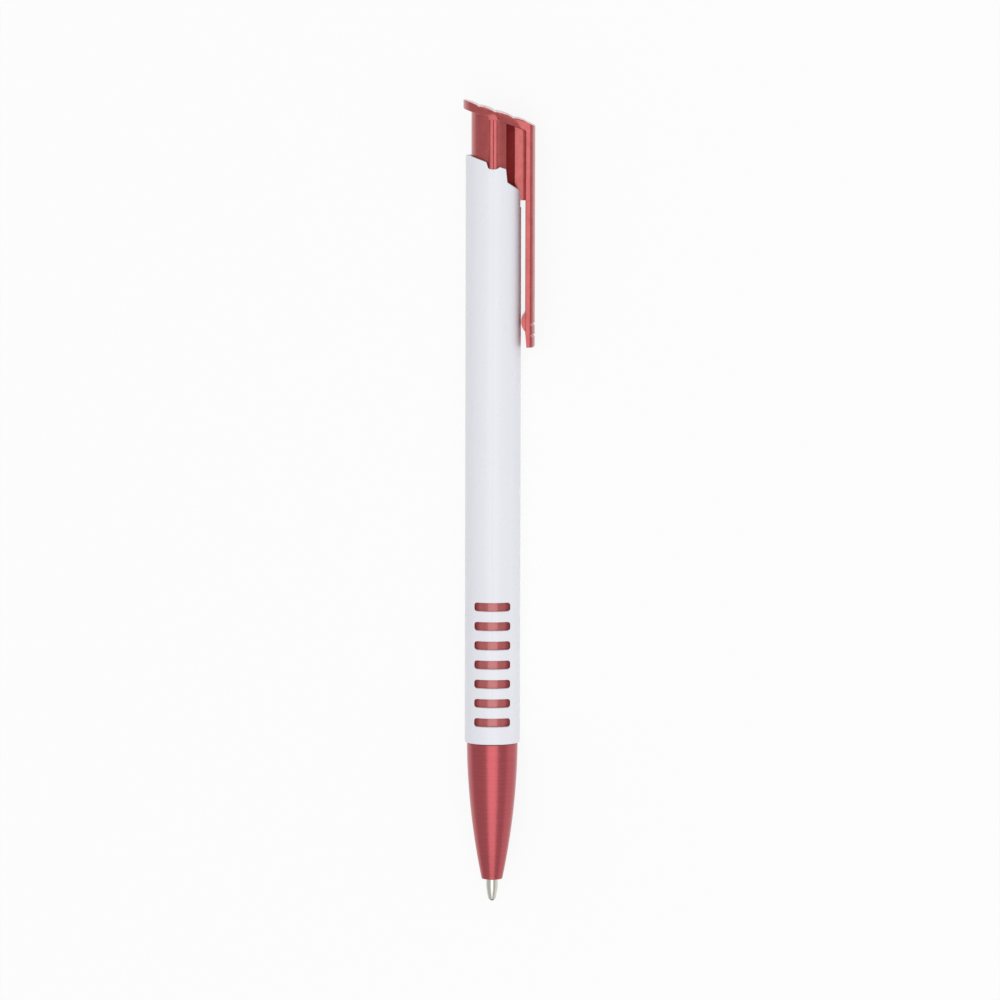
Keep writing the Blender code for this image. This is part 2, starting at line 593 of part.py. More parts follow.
def make_cam_rotor(pen):
    chamfer = 2 * RUN_GAP
    body = ROTOR_SOCKET + ROTOR_SOCKET_WALL
    foot = TUBE_TOP - ROTOR_SOCKET_DEPTH
    floor = TUBE_TOP + SEAT_GAP
    top = SPIGOT_FOOT + ROTOR_SPIGOT_RISE
    profile = [(0, top), (ROTOR_SPIGOT_RADIUS - chamfer, top), (ROTOR_SPIGOT_RADIUS, top - chamfer)]
    profile += [(ROTOR_SPIGOT_RADIUS, SPIGOT_FOOT), (body, SPIGOT_FOOT), (body, foot + chamfer)]
    profile += [(body - chamfer, foot), (ROTOR_SOCKET, foot), (ROTOR_SOCKET, floor), (0, floor)]
    obj = turned("cam_rotor", profile, SMALL_STEPS, pen, ROTOR_TOP, closed=False)
    boolean(obj, "UNION", object_from("rotor ribs", add_rotor_ribs, pen))
    obj.data.materials.append(material("natural plastic", (0.75, 0.74, 0.7), 0.4))


def make_ink_tube(pen):
    profile = [(TUBE_RADIUS, TUBE_TOP), (TUBE_RADIUS, TUBE_FOOT), (TUBE_BORE, TUBE_FOOT), (TUBE_BORE, TUBE_TOP)]
    obj = turned("ink_tube", profile, SMALL_STEPS, pen)
    obj.data.materials.append(material("clear plastic tube", (0.8, 0.82, 0.82), 0.2))


def make_ink_column(pen):
    radius = TUBE_BORE - 0.7 * RUN_GAP
    foot = FLANGE_TOP + HOLDER_SPIGOT_LENGTH + SEAT_GAP
    top = TUBE_TOP - INK_AIR_SPACE
    profile = [(0, top - 2 * RUN_GAP), (0.7 * radius, top - RUN_GAP), (radius, top), (radius, foot), (0, foot)]
    obj = turned("ink_column", profile, SMALL_STEPS, pen, closed=False)
    obj.data.materials.append(material("blue ink", (0.01, 0.02, 0.12), 0.25))


def make_tip_holder(pen):
    foot = TIP_LENGTH + SEAT_GAP
    socket = TIP_SHANK_RADIUS + 0.5 * RUN_GAP
    socket_top = TIP_LENGTH + TIP_SHANK_LENGTH + SEAT_GAP
    spigot = TUBE_BORE - 0.5 * RUN_GAP
    top = FLANGE_TOP + HOLDER_SPIGOT_LENGTH
    profile = [(spigot - RUN_GAP, top), (spigot, top - 2 * RUN_GAP), (spigot, FLANGE_TOP)]
    profile += [(HOLDER_FLANGE_RADIUS, FLANGE_TOP), (HOLDER_FLANGE_RADIUS, FLANGE_FOOT)]
    profile += [(HOLDER_RADIUS, FLANGE_FOOT), (HOLDER_RADIUS, foot + RUN_GAP), (HOLDER_RADIUS - RUN_GAP, foot)]
    profile += [(socket, foot), (socket, socket_top), (HOLDER_CHANNEL_RADIUS, socket_top)]
    profile += [(HOLDER_CHANNEL_RADIUS, top)]
    obj = turned("tip_holder", profile, SMALL_STEPS, pen)
    obj.data.materials.append(material("black plastic", (0.03, 0.03, 0.03), 0.4))


def make_writing_tip(pen):
    top = TIP_LENGTH + TIP_SHANK_LENGTH
    lip = BALL_RADIUS - BALL_LIP
    profile = [(TIP_SHANK_RADIUS, top), (TIP_SHANK_RADIUS, TIP_LENGTH), (TIP_RADIUS, TIP_LENGTH)]
    steps = 8
    for i in range(steps + 1):
        level = TIP_TAPER_LENGTH + (lip - TIP_TAPER_LENGTH) * i / steps
        profile.append((TIP_RADIUS - TIP_TAPER * (1 - level / TIP_TAPER_LENGTH) ** TIP_TAPER_POWER, level))
    socket = BALL_RADIUS + BALL_GAP
    start = -math.asin(BALL_LIP / socket)
    end = math.acos(INK_CHANNEL_RADIUS / socket)
    profile += arc((0, BALL_RADIUS), (socket, socket), start, end, 6)
    profile += [(INK_CHANNEL_RADIUS, top)]
    obj = turned("writing_tip", profile, SMALL_STEPS, pen)
    obj.data.materials.append(material("nickel silver", (0.62, 0.61, 0.57), 0.25, 1.0))


def make_writing_ball(pen):
    profile = [(0 if i in (0, BALL_STEPS // 2) else x, z) for i, (x, z) in enumerate(
        arc((0, BALL_RADIUS), (BALL_RADIUS, BALL_RADIUS), math.pi / 2, -math.pi / 2, BALL_STEPS // 2))]
    obj = turned("writing_ball", profile, BALL_STEPS, pen, BALL_RADIUS, closed=False)
    obj.data.materials.append(material("carbide ball", (0.4, 0.4, 0.4), 0.15, 1.0))


def spring_points():
    """The wire's middle line: even turns, with a closer turn at each end."""
    margin = SPRING_WIRE_RADIUS + SEAT_GAP
    free_pitch = (SPRING_LENGTH - 2 * margin - 2 * SPRING_END_PITCH) / (SPRING_TURNS - 2)
    points = []
    for i in range(SPRING_TURNS * SPRING_POINTS + 1):
        turn = i / SPRING_POINTS
        close = min(turn, 1) + max(turn - SPRING_TURNS + 1, 0)
        rise = SPRING_END_PITCH * close + free_pitch * (turn - close)
        angle = 2 * math.pi * turn
        across = Vector((math.cos(angle), math.sin(angle), 0)) * SPRING_RADIUS
        points.append(across + Vector((0, 0, margin + rise)))
    return points


def least_gap(points):
    """The least clear distance between one turn of the wire and another."""
    apart = min((a - b).length for i, a in enumerate(points) for b in points[i + SPRING_POINTS // 2 + 1 :])
    return apart - 2 * SPRING_WIRE_RADIUS


def make_spring(pen):
    points = spring_points()
    print(f"least gap between the spring's turns: {least_gap(points) / mm:.2f} mm")
    curve = bpy.data.curves.new("spring", "CURVE")
    curve.dimensions = "3D"
    curve.bevel_depth = SPRING_WIRE_RADIUS
    curve.bevel_resolution = 1
    curve.use_fill_caps = True
    wire = curve.splines.new("POLY")
    wire.points.add(len(points) - 1)
    for target, point in zip(wire.points, points):
        target.co = (*point, 1)
    obj = add_object("spring", curve, pen)
    obj.location.z = SPRING_SEAT
    obj.data.materials.append(material("spring steel", (0.55, 0.55, 0.55), 0.3, 1.0))


def lay_down(pen):
    """Lays the pen along Y, its button at +Y and its clip's edge on the surface at height 0, with the
    middle of its outline over the origin."""
    lean = Matrix.Rotation(LEAN, 4, "Y")
    pen.matrix_world = lean @ Matrix.Rotation(-math.pi / 2, 4, "X")
    bpy.context.view_layer.update()
    graph = bpy.context.evaluated_depsgraph_get()
    points = []
    for obj in bpy.data.objects:
        if obj.type == "EMPTY" or obj.hide_render:
            continue
        shown = obj.evaluated_get(graph)
        mesh = shown.to_mesh()
        points += [shown.matrix_world @ vertex.co for vertex in mesh.vertices]
        shown.to_mesh_clear()
    low = Vector([min(point[k] for point in points) for k in range(3)])
    high = Vector([max(point[k] for point in points) for k in range(3)])
    middle = (low + high) / 2
    pen.location -= Vector((middle.x, middle.y, low.z))


def main():
    clear_scene()
    pen = add_object("pen axis", None)
    make_barrel(pen)
    make_nose_cone(pen)
    make_plunger_clip(pen)
    make_cam_rotor(pen)
    make_ink_tube(pen)
    make_ink_column(pen)
    make_tip_holder(pen)
    make_writing_tip(pen)
    make_writing_ball(pen)
    make_spring(pen)
    lay_down(pen)


main()
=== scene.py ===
import json
import math

import bmesh
import bpy
from mathutils import Matrix, Vector


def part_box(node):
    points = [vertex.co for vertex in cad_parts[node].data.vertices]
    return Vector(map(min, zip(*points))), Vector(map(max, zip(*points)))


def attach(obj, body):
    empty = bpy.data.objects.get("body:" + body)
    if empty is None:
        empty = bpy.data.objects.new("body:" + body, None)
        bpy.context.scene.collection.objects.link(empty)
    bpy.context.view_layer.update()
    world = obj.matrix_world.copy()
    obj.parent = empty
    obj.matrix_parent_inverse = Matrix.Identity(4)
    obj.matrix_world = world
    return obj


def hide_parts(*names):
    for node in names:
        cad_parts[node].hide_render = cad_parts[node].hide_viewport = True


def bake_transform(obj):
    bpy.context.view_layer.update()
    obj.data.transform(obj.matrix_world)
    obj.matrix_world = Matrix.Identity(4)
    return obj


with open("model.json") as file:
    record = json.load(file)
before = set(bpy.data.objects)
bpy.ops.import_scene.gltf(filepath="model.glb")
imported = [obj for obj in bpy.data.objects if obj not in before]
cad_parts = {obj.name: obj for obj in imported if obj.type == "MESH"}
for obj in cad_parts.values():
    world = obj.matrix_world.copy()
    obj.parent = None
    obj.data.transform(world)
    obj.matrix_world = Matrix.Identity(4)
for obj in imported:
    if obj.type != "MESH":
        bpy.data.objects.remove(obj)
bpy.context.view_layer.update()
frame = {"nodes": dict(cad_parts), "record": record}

mm = 0.001
QUARTER = math.pi / 2

# The photograph's frame, in its pixels, and the place of the pen in it
PICTURE = 1000
MM_PER_PIXEL = 0.1808  # at the pen, half way down the picture
AXIS_OFFSET = 7.2  # how far left of the picture's middle the pen's axis crosses its middle row
MIDDLE_ROW_HEIGHT = 73.161 * mm  # the place on the pen's axis that lies in that row

# The camera, seen from the pen
CAMERA_DISTANCE = 1.350
CAMERA_RISE = math.radians(5.6)  # towards the button
CAMERA_TURN = math.radians(0.5)  # about the pen's axis, towards the clip
CAMERA_ROLL = math.radians(0.135)
SENSOR = 36.0  # its width in millimetres

# Light, as strengths at which 1 shows as white
SURROUND = 0.62
SOFTBOX = 1.08  # on top of the surround
SOFTBOX_DISTANCE = 1.3
SOFTBOX_SIZE = (1.15, 1.75)  # across the pen, and along it
SOFTBOX_RISE = math.radians(-2)  # rise and turn as for the camera
SOFTBOX_TURN = math.radians(1)
FLOOR_SIZE = 3.0
FLOOR_COLOUR = (0.93, 0.93, 0.93, 1.0)
FLOOR_SHADOW = 0.12  # the share of its look that comes from the light on it

# Nose cone
NOSE_LENGTH = 25.0 * mm
NOSE_RADIUS = 4.61 * mm
NOSE_EXIT_RADIUS = 1.87 * mm
NOSE_TOP_SLOPE = 0.01
NOSE_TOP_CHAMFER = 0.22 * mm
NOSE_EXIT_ROUND = 0.22 * mm
NOSE_EXIT_START = -0.15  # the angle at which the round starts
NOSE_WALL = 0.85 * mm
TIP_BORE = 1.13 * mm
SPRING_BORE = 2.2 * mm
SPRING_BORE_LENGTH = 2 * NOSE_WALL
SLEEVE_RADIUS = 4.15 * mm
SLEEVE_BORE = 3.4 * mm
SLEEVE_EDGE = 0.12 * mm

# Barrel
BARREL_RADIUS = 5.0 * mm
BORE = 4.25 * mm
BARREL_EDGE = 0.13 * mm
BARREL_FOOT_ROUND = (0.2 * mm, 0.55 * mm)  # inwards, and up
RIM_ZONE = 3.0 * mm  # below the clip block, down to where the shell's rings lie level
COLUMN_ANGLE = math.radians(3.5)  # between the shell's columns, about
SLOT_COUNT = 7
SLOT_PITCH = 3.503 * mm
SLOT_HEIGHT = 1.58 * mm
SLOT_FIRST = 4.0 * mm
SLOT_HALF_WIDTH = 3.22 * mm
SLOT_CORNER = 0.5 * mm
SLOT_FLARE = 0.2 * mm  # how far the cutters go on widening outside
RIM_LEVEL = 0.95 * mm  # the width of the top edge's level end
RIM_SLOPE = 0.364
DIP_HALF_WIDTH = 1.25 * mm
DIP_FLOOR_ROUND = (0.75 * DIP_HALF_WIDTH, 0.25 * DIP_HALF_WIDTH)
DIP_DEPTH = 0.84 * mm
STEP_X = 2.28 * mm
STEP_DEPTH = 2.38 * mm
STEP_LEAN = 0.25 * mm
STEP_RAMP = 0.696

# Click mechanism
CAM_DROP = 23.9 * mm
TOOTH_HEIGHT = 0.8 * mm
TOOTH_SIDE = math.radians(0.4)  # half of a steep side's share of the turn
CHANNEL_COUNT = 4
TEETH_PER_CHANNEL = 2
CHANNEL_HALF_ANGLE = math.radians(12)
CAM_RIB_FACE = 3.35 * mm
CAM_CEILING = 1.2 * mm
CEILING_RISE = 6.6 * mm  # from the tips of the cam teeth
LUG_HEIGHT = 1.5 * mm
LUG_REACH = 0.3 * mm
LUG_HALF_ANGLE = math.radians(8)
CROWN_RADIUS = 3.2 * mm
CROWN_BORE = 2.1 * mm
BODY_RISE = 9.0 * mm  # of the button's body above the tips of the cam teeth

# Button and clip
BODY_RADIUS = 4.0 * mm
BODY_FLAT = 2.3 * mm
BODY_BORE_RADIUS = 1.5 * mm
BODY_ROOF = 2.4 * mm
BUTTON_RISE = 10.115 * mm
BUTTON_SLOPE = 0.342
PLATE_THICKNESS = 1.7 * mm
PLATE_LEFT = -5.45 * mm
PLATE_HALF_WIDTH = 4.5 * mm
PLATE_DRAFT = 0.75 * mm  # how far its sides draw in towards its lower face
PLATE_EDGE = 0.22 * mm
PLATE_LIP_LENGTH = 3.2 * mm
PLATE_END_LENGTH = 1.6 * mm
PLATE_END_DROP = 0.25 * mm
PLATE_TAPER_START = 1.2 * mm
PLATE_DRAFT_END = 4.5 * mm  # where the draft starts to fade out
GROOVE_DEPTH = 0.15 * mm
GROOVE_HALF_WIDTH = 0.32 * mm
GROOVE_FLOOR = 0.3  # half of its floor's width, as a share of GROOVE_HALF_WIDTH
GROOVE_CURVE = 1.5  # how strongly the floor curves up
TOP_GROOVES = (-2.64 * mm, 0.19 * mm, 3.56 * mm)
CUSHION_CROWN = 0.1 * mm
GUIDE_RIB_HALF_WIDTH = 0.88 * mm
GUIDE_RIB_FACE = 4.5 * mm
GUIDE_RIB_ROOT = 0.9 * BODY_RADIUS  # inside the body
GUIDE_RIB_SIDE = (0.5 * mm, 0.35 * mm)  # a bead's outer round: across, and deep
GUIDE_RIB_SEAM = (0.1 * mm, 0.12 * mm)  # and its round at the seam
GUIDE_RIB_SEAM_END = 0.93 * math.pi  # the angle at which the two beads meet
GUIDE_RIB_TOP_GAP = 0.1 * mm
WEB_HALF_WIDTH = 0.65 * mm
WEB_WAIST = 0.13 * mm  # its half width at the body
BLOCK_HALF_WIDTH = 1.15 * mm
BLOCK_ROOT_HALF_WIDTH = 0.9 * BLOCK_HALF_WIDTH  # inside the clip
BLOCK_CROWN_RADIUS = 4.5 * mm  # of its gently round sides
BLOCK_START = 3.7 * mm
BLOCK_DROP = 8.07 * mm
CLIP_INNER = 5.78 * mm
CLIP_OUTER = 7.5 * mm
CLIP_CROWN_RADIUS = 7.595 * mm
CLIP_HALF_WIDTH = 3.1 * mm
CLIP_EDGE_ROUND = 0.75 * mm
CLIP_LENGTH = 40.2 * mm
CLIP_END_ROUND = 0.45 * mm
CLIP_END_FLARE = 0.22 * mm
CLIP_GROOVES = (2.15 * mm, 4.2 * mm)  # above the clip's end
CLIP_GROOVE_DEPTH = 0.24 * mm
CLIP_GROOVE_FLOOR = 0.08 * mm  # half of their floor's width
CLIP_GROOVE_REACH = 1.5  # how far the cutters go round, against the clip's own edge
RIDGE_RADIUS = 2.5 * mm
RIDGE_RISE = 4.63 * mm  # of its middle above the clip's end
MOULD_ROUND = 0.16 * mm  # of the moulding's square edges
CUT_MARGIN = 0.2 * MOULD_ROUND  # between the plate's lower face and its plan's last ring
PRESS_TRAVEL = 1.0 * mm  # how far the button goes in past its latched place

# Gaps
SEAT_GAP = 0.06 * mm  # between pieces that bear on each other
RUN_GAP = 0.1 * mm  # between pieces that slide past each other
CLIP_SLOT_GAP = 3 * RUN_GAP  # under the pressed clip block

# Writing tip and ball
BALL_RADIUS = 0.5 * mm
BALL_GAP = 0.02 * mm
BALL_LIP = 0.12 * mm
TIP_RADIUS = 1.06 * mm
TIP_TAPER_LENGTH = 3.0 * mm
TIP_TAPER = 0.52 * mm
TIP_TAPER_POWER = 1.55
TIP_LENGTH = 12.5 * mm
TIP_SHANK_RADIUS = 0.7 * mm
TIP_EDGE = 0.08 * mm
INK_CHANNEL_RADIUS = 0.25 * mm

# Spring
SPRING_WIRE_RADIUS = 0.2 * mm
SPRING_RADIUS = 1.9 * mm
SPRING_TURNS = 11
SPRING_END_PITCH = 0.95 * mm
SPRING_POINTS = 28  # to a turn
WIRE_SIDES = 12

# Fineness
FINE_STEPS = 144  # round the nose cone
TIP_STEPS = 64  # round the writing tip
EDGE_STEPS = 4  # over a small rounded edge
SHARP_ANGLE = math.radians(30)  # edges above it aren't shaded smooth
ON_CYLINDER = (0.01 * mm, 0.95)  # how near points are, and how square faces are

BEYOND = 2 * BARREL_RADIUS  # further out than anything on the pen


def pen_frame():
    """The pen's own frame: Z along its axis from the ball's lowest point, X towards the clip."""
    across = Vector(next(m for m in frame["record"]["mounts"] if m["name"] == "clip_face")["axis"])
    along = Vector((0, 1, 0))
    deep = along.cross(across)
    low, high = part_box("writing_ball")
    turn = Matrix((across, deep, along)).transposed().to_4x4()
    return Matrix.Translation(((low.x + high.x) / 2, low.y, (low.z + high.z) / 2)) @ turn


PEN = pen_frame()


def reach(node):
    """The lowest and highest place of a CAD node along the pen's axis."""
    low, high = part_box(node)
    return low.y - PEN.translation.y, high.y - PEN.translation.y


NOSE_EXIT, SLEEVE_TOP = reach("nose_cone")
NOSE_TOP = NOSE_EXIT + NOSE_LENGTH
BARREL_FOOT, BARREL_TOP = reach("barrel")
CAM_TIPS = BARREL_TOP - CAM_DROP
BODY_FOOT = CAM_TIPS + BODY_RISE
BLOCK_FOOT = BARREL_TOP - BLOCK_DROP
BUTTON_TOP = BARREL_TOP + BUTTON_RISE
CLIP_END = BUTTON_TOP - BUTTON_SLOPE * (CLIP_OUTER - PLATE_LEFT) - CLIP_LENGTH
SPRING_FOOT, SPRING_HEAD = reach("spring")
TIP_TOP = reach("writing_tip")[1]


def in_pen(x, y, z):
    """A point of the pen's own frame, in the scene."""
    return PEN @ Vector((x, y, z))


def direction_from_pen(rise, turn):
    """From the pen towards the side that shows, in the scene's frame. rise and turn are as the camera's."""
    flat = PEN.to_3x3() @ Vector((math.sin(turn), -math.cos(turn), 0))
    return flat * math.cos(rise) + Vector((0, 1, 0)) * math.sin(rise)


def facing(direction, roll=0):
    """A turn whose Z is a direction and whose Y leans towards the button, rolled about that Z."""
    right = Vector((0, 1, 0)).cross(direction).normalized()
    up = direction.cross(right)
    right = right * math.cos(roll) + up * math.sin(roll)
    return Matrix((right, direction.cross(right), direction)).transposed().to_4x4()


def add_object(name, data):
    obj = bpy.data.objects.new(name, data)
    bpy.context.scene.collection.objects.link(obj)
    return obj


def make_camera():
    """The photograph's camera. Its middle column lies a little right of the pen's axis."""
    direction = direction_from_pen(CAMERA_RISE, CAMERA_TURN)
    turn = facing(direction, CAMERA_ROLL)
    data = bpy.data.cameras.new("camera")
    data.sensor_width = SENSOR
    data.lens = SENSOR * CAMERA_DISTANCE / (PICTURE * MM_PER_PIXEL * mm)
    data.clip_start, data.clip_end = 0.1, 10.0
    camera = add_object("camera", data)
    target = in_pen(0, 0, MIDDLE_ROW_HEIGHT) + turn.col[0].xyz * AXIS_OFFSET * MM_PER_PIXEL * mm
    camera.matrix_world = Matrix.Translation(target + direction * CAMERA_DISTANCE) @ turn
    bpy.context.scene.camera = camera


def new_material(name):
    made = bpy.data.materials.new(name)
    made.use_nodes = True
    made.node_tree.nodes.clear()
    return made, made.node_tree


def add_node(tree, kind, **values):
    """A node with its inputs set by name."""
    node = tree.nodes.new(kind)
    for name, value in values.items():
        node.inputs[name.replace("_", " ")].default_value = value
    return node


def add_math(tree, operation, first, second):
    """The output of a Math node, fed with numbers or links."""
    node = tree.nodes.new("ShaderNodeMath")
    node.operation = operation
    for socket, value in zip(node.inputs, (first, second)):
        if isinstance(value, (int, float)):
            socket.default_value = value
        else:
            tree.links.new(value, socket)
    return node.outputs[0]


def end_in_mix(tree, kind, share, first, second):
    """Ends a tree in a mix of two shaders. share is the second one's."""
    mix = tree.nodes.new("ShaderNodeMixShader")
    out = tree.nodes.new(kind)
    tree.links.new(share, mix.inputs["Fac"])
    tree.links.new(first.outputs[0], mix.inputs[1])
    tree.links.new(second.outputs[0], mix.inputs[2])
    tree.links.new(mix.outputs[0], out.inputs["Surface"])


def make_floor():
    """A pale floor, mostly white to the camera, that keeps the pen's shadow."""
    material, tree = new_material("pale floor")
    path = tree.nodes.new("ShaderNodeLightPath")
    seen = add_math(tree, "MAXIMUM", path.outputs["Is Camera Ray"], path.outputs["Is Glossy Ray"])
    seen = add_math(tree, "MAXIMUM", seen, path.outputs["Is Transmission Ray"])
    share = add_math(tree, "MULTIPLY", seen, 1 - FLOOR_SHADOW)
    matt = add_node(tree, "ShaderNodeBsdfDiffuse", Color=FLOOR_COLOUR)
    white = add_node(tree, "ShaderNodeEmission", Color=(1, 1, 1, 1), Strength=1.0)
    end_in_mix(tree, "ShaderNodeOutputMaterial", share, matt, white)
    bpy.ops.mesh.primitive_plane_add(size=FLOOR_SIZE)
    floor = bpy.context.object
    floor.name = "floor"
    floor.data.materials.append(material)


def make_light():
    """An even grey surround, white to the camera, and one large softbox in front of the pen."""
    world = bpy.data.worlds.new("studio")
    bpy.context.scene.world = world
    world.use_nodes = True
    tree = world.node_tree
    tree.nodes.clear()
    path = tree.nodes.new("ShaderNodeLightPath")
    grey = add_node(tree, "ShaderNodeBackground", Color=(1, 1, 1, 1), Strength=SURROUND)
    white = add_node(tree, "ShaderNodeBackground", Color=(1, 1, 1, 1), Strength=1.0)
    end_in_mix(tree, "ShaderNodeOutputWorld", path.outputs["Is Camera Ray"], grey, white)
    data = bpy.data.lights.new("softbox", "AREA")
    data.shape = "RECTANGLE"
    data.size, data.size_y = SOFTBOX_SIZE
    data.energy = SOFTBOX * math.pi * data.size * data.size_y
    lamp = add_object("softbox", data)
    direction = direction_from_pen(SOFTBOX_RISE, SOFTBOX_TURN)
    lamp.matrix_world = Matrix.Translation(direction * SOFTBOX_DISTANCE) @ facing(direction)
    lamp.visible_camera = False


def place(name, mesh, material, body, node):
    """Makes a piece from a mesh in the pen's frame, with a CAD node's place and slot. It rides on body, or
    on no body when body is None."""
    mesh.transform(PEN)
    mesh.materials.clear()
    mesh.materials.append(material)
    obj = add_object(name, mesh)
    if body:
        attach(obj, body)
    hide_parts(node)
    return obj


def smooth(mesh):
    mesh.shade_smooth()
    mesh.set_sharp_from_angle(angle=SHARP_ANGLE)
    return mesh


def around(radius, angle, level):
    """The point at a radius, an angle and a height about Z."""
    return Vector((radius * math.cos(angle), radius * math.sin(angle), level))


def join_rings(shape, rings, loop=False, ends=False):
    """Adds the faces between rings of equally many points, from the last to the first too if loop is
    true, and over both ends if ends is. A ring that is one point over and over gives triangles."""
    for here, following in zip(rings, rings[1:] + rings[:1] if loop else rings[1:]):
        for i in range(len(here)):
            j = (i + 1) % len(here)
            shape.faces.new(list(dict.fromkeys((here[i], here[j], following[j], following[i]))))
    if ends:
        shape.faces.new(rings[0])
        shape.faces.new(rings[-1])


def turned_mesh(name, profile, steps, closed=True):
    """A mesh from a profile of (radius, height) points turned about Z. A closed profile is a ring of
    points, and an open one starts and ends on the axis."""
    angles = [math.tau * i / steps for i in range(steps)]

    def add_rings(shape):
        rings = []
        for radius, level in profile:
            if radius == 0:
                rings.append([shape.verts.new((0, 0, level))] * steps)
            else:
                rings.append([shape.verts.new(around(radius, angle, level)) for angle in angles])
        join_rings(shape, rings, loop=closed)

    return smooth(mesh_from(name, add_rings))


def arc(centre, size, start, end, steps):
    """Points on an arc, its two ends included. size is its radius, or the two radii of an ellipse."""
    across, up = size if isinstance(size, tuple) else (size, size)
    points = []
    for i in range(steps + 1):
        angle = start + (end - start) * i / steps
        points.append((centre[0] + across * math.cos(angle), centre[1] + up * math.sin(angle)))
    return points


def mirrored(half):
    """An outline from its half with y above 0."""
    return half + [(x, -y) for x, y in reversed(half)]


def quarter_steps(steps):
    """The angles of a quarter turn, without 0."""
    return [QUARTER * i / steps for i in range(1, steps + 1)]


def mesh_from(name, builder):
    """A mesh of what builder adds to an empty bmesh, with its faces pointing out."""
    shape = bmesh.new()
    builder(shape)
    bmesh.ops.recalc_face_normals(shape, faces=shape.faces)
    mesh = bpy.data.meshes.new(name)
    shape.to_mesh(mesh)
    shape.free()
    return mesh


def combined(mesh, *steps):
    """A mesh after Booleans, each an operation and the mesh it uses, one after the other."""
    obj = add_object(mesh.name, mesh)
    used = [obj]
    for operation, tool in steps:
        modifier = obj.modifiers.new(operation, "BOOLEAN")
        modifier.operation = operation
        modifier.solver = "EXACT"
        modifier.object = add_object(tool.name, tool)
        used.append(modifier.object)
    bpy.context.view_layer.update()
    graph = bpy.context.evaluated_depsgraph_get()
    result = bpy.data.meshes.new_from_object(obj.evaluated_get(graph))
    for old in used:
        bpy.data.objects.remove(old, do_unlink=True)
    return smooth(result)


def add_prism(shape, outline, low, high, sideways):
    """Adds an outline drawn out along Z, or along Y if sideways, from low to high. Both are numbers, or
    functions that give the height above a point of the outline."""
    ends = []
    for level in (low, high):
        heights = [level(u, v) if callable(level) else level for u, v in outline]
        points = [(u, h, v) if sideways else (u, v, h) for (u, v), h in zip(outline, heights)]
        ends.append([shape.verts.new(point) for point in points])
    for end in ends:
        shape.faces.new(end)
    join_rings(shape, ends)


def prism(name, outline, low, high, sideways=False):
    return mesh_from(name, lambda shape: add_prism(shape, outline, low, high, sideways))


def box_outline(x_low, x_high, y_low, y_high):
    return [(x_low, y_low), (x_high, y_low), (x_high, y_high), (x_low, y_high)]


def add_curved_block(shape, stations, inner, outer, ring=False, flare=0.0):
    """Adds a block between two radii. Its foot and head follow stations of (angle, low, high), and go
    further out by flare at the outer radius. With ring true it goes all the way round."""
    rows = []
    for angle, low, high in stations:
        across = Vector((math.cos(angle), math.sin(angle), 0))
        corners = ((inner, low), (outer, low - flare), (outer, high + flare), (inner, high))
        rows.append([shape.verts.new(across * radius + Vector((0, 0, level))) for radius, level in corners])
    join_rings(shape, rows, loop=ring, ends=not ring)


def round_normals(mesh, radius):
    """Gives the faces on a cylinder about the pen's axis that cylinder's own normals."""
    near, square = ON_CYLINDER
    normals = [corner.vector.copy() for corner in mesh.corner_normals]
    for face in mesh.polygons:
        for loop in face.loop_indices:
            point = mesh.vertices[mesh.loops[loop].vertex_index].co
            out = Vector((point.x, point.y, 0))
            if abs(out.length - radius) < near and abs(face.normal.dot(out.normalized())) > square:
                normals[loop] = out.normalized() * math.copysign(1, face.normal.dot(out))
    mesh.normals_split_custom_set(normals)


def rim_slope_height(x):
    """Height of the top edge's slant, without its dip and step."""
    return BARREL_TOP - RIM_SLOPE * (x + BARREL_RADIUS - RIM_LEVEL)


def rim_points():
    """The barrel's top edge as seen from the slots' side, from the clip's side to the level end."""
    step_top = rim_slope_height(STEP_X)
    foot_x = STEP_X + STEP_LEAN
    dip_floor = rim_slope_height(0) - DIP_DEPTH
    dip_middle = (0, dip_floor + DIP_FLOOR_ROUND[1])
    points = [(BARREL_RADIUS, step_top - STEP_DEPTH - STEP_RAMP * (BARREL_RADIUS - foot_x))]
    points += [(foot_x, step_top - STEP_DEPTH), (STEP_X, step_top)]
    points += [(DIP_HALF_WIDTH, rim_slope_height(DIP_HALF_WIDTH))]
    points += arc(dip_middle, DIP_FLOOR_ROUND, 0, -math.pi, steps=12)
    points += [(-DIP_HALF_WIDTH, rim_slope_height(-DIP_HALF_WIDTH))]
    return points + [(RIM_LEVEL - BARREL_RADIUS, BARREL_TOP), (-BARREL_RADIUS, BARREL_TOP)]


def rim_height(x):
    """Height of the barrel's top edge above a place across the barrel."""
    points = rim_points()
    for (right, high), (left, low) in zip(points, points[1:]):
        if x >= left:
            return low + (high - low) * min((x - left) / (right - left), 1)
    return points[-1][1]


def rim_columns(radius):
    """(angle, height) round half of the rim at a radius, with columns at its corners in the same order
    for every radius."""
    outer = [math.acos(x / BARREL_RADIUS) for x, level in rim_points()]
    corners = [outer[0]] + [math.acos(x / radius) for x, level in rim_points()[1:-1]] + [outer[-1]]
    counts = [max(1, round((b - a) / COLUMN_ANGLE)) for a, b in zip(outer, outer[1:])]
    columns = []
    for k, count in enumerate(counts):
        high, low = rim_points()[k][1], rim_points()[k + 1][1]
        for i in range(count):
            angle = corners[k] + (corners[k + 1] - corners[k]) * i / count
            on_corner = i == 0 and k > 0
            columns.append((angle, high if on_corner else rim_height(radius * math.cos(angle))))
    return columns + [(math.pi, BARREL_TOP)]


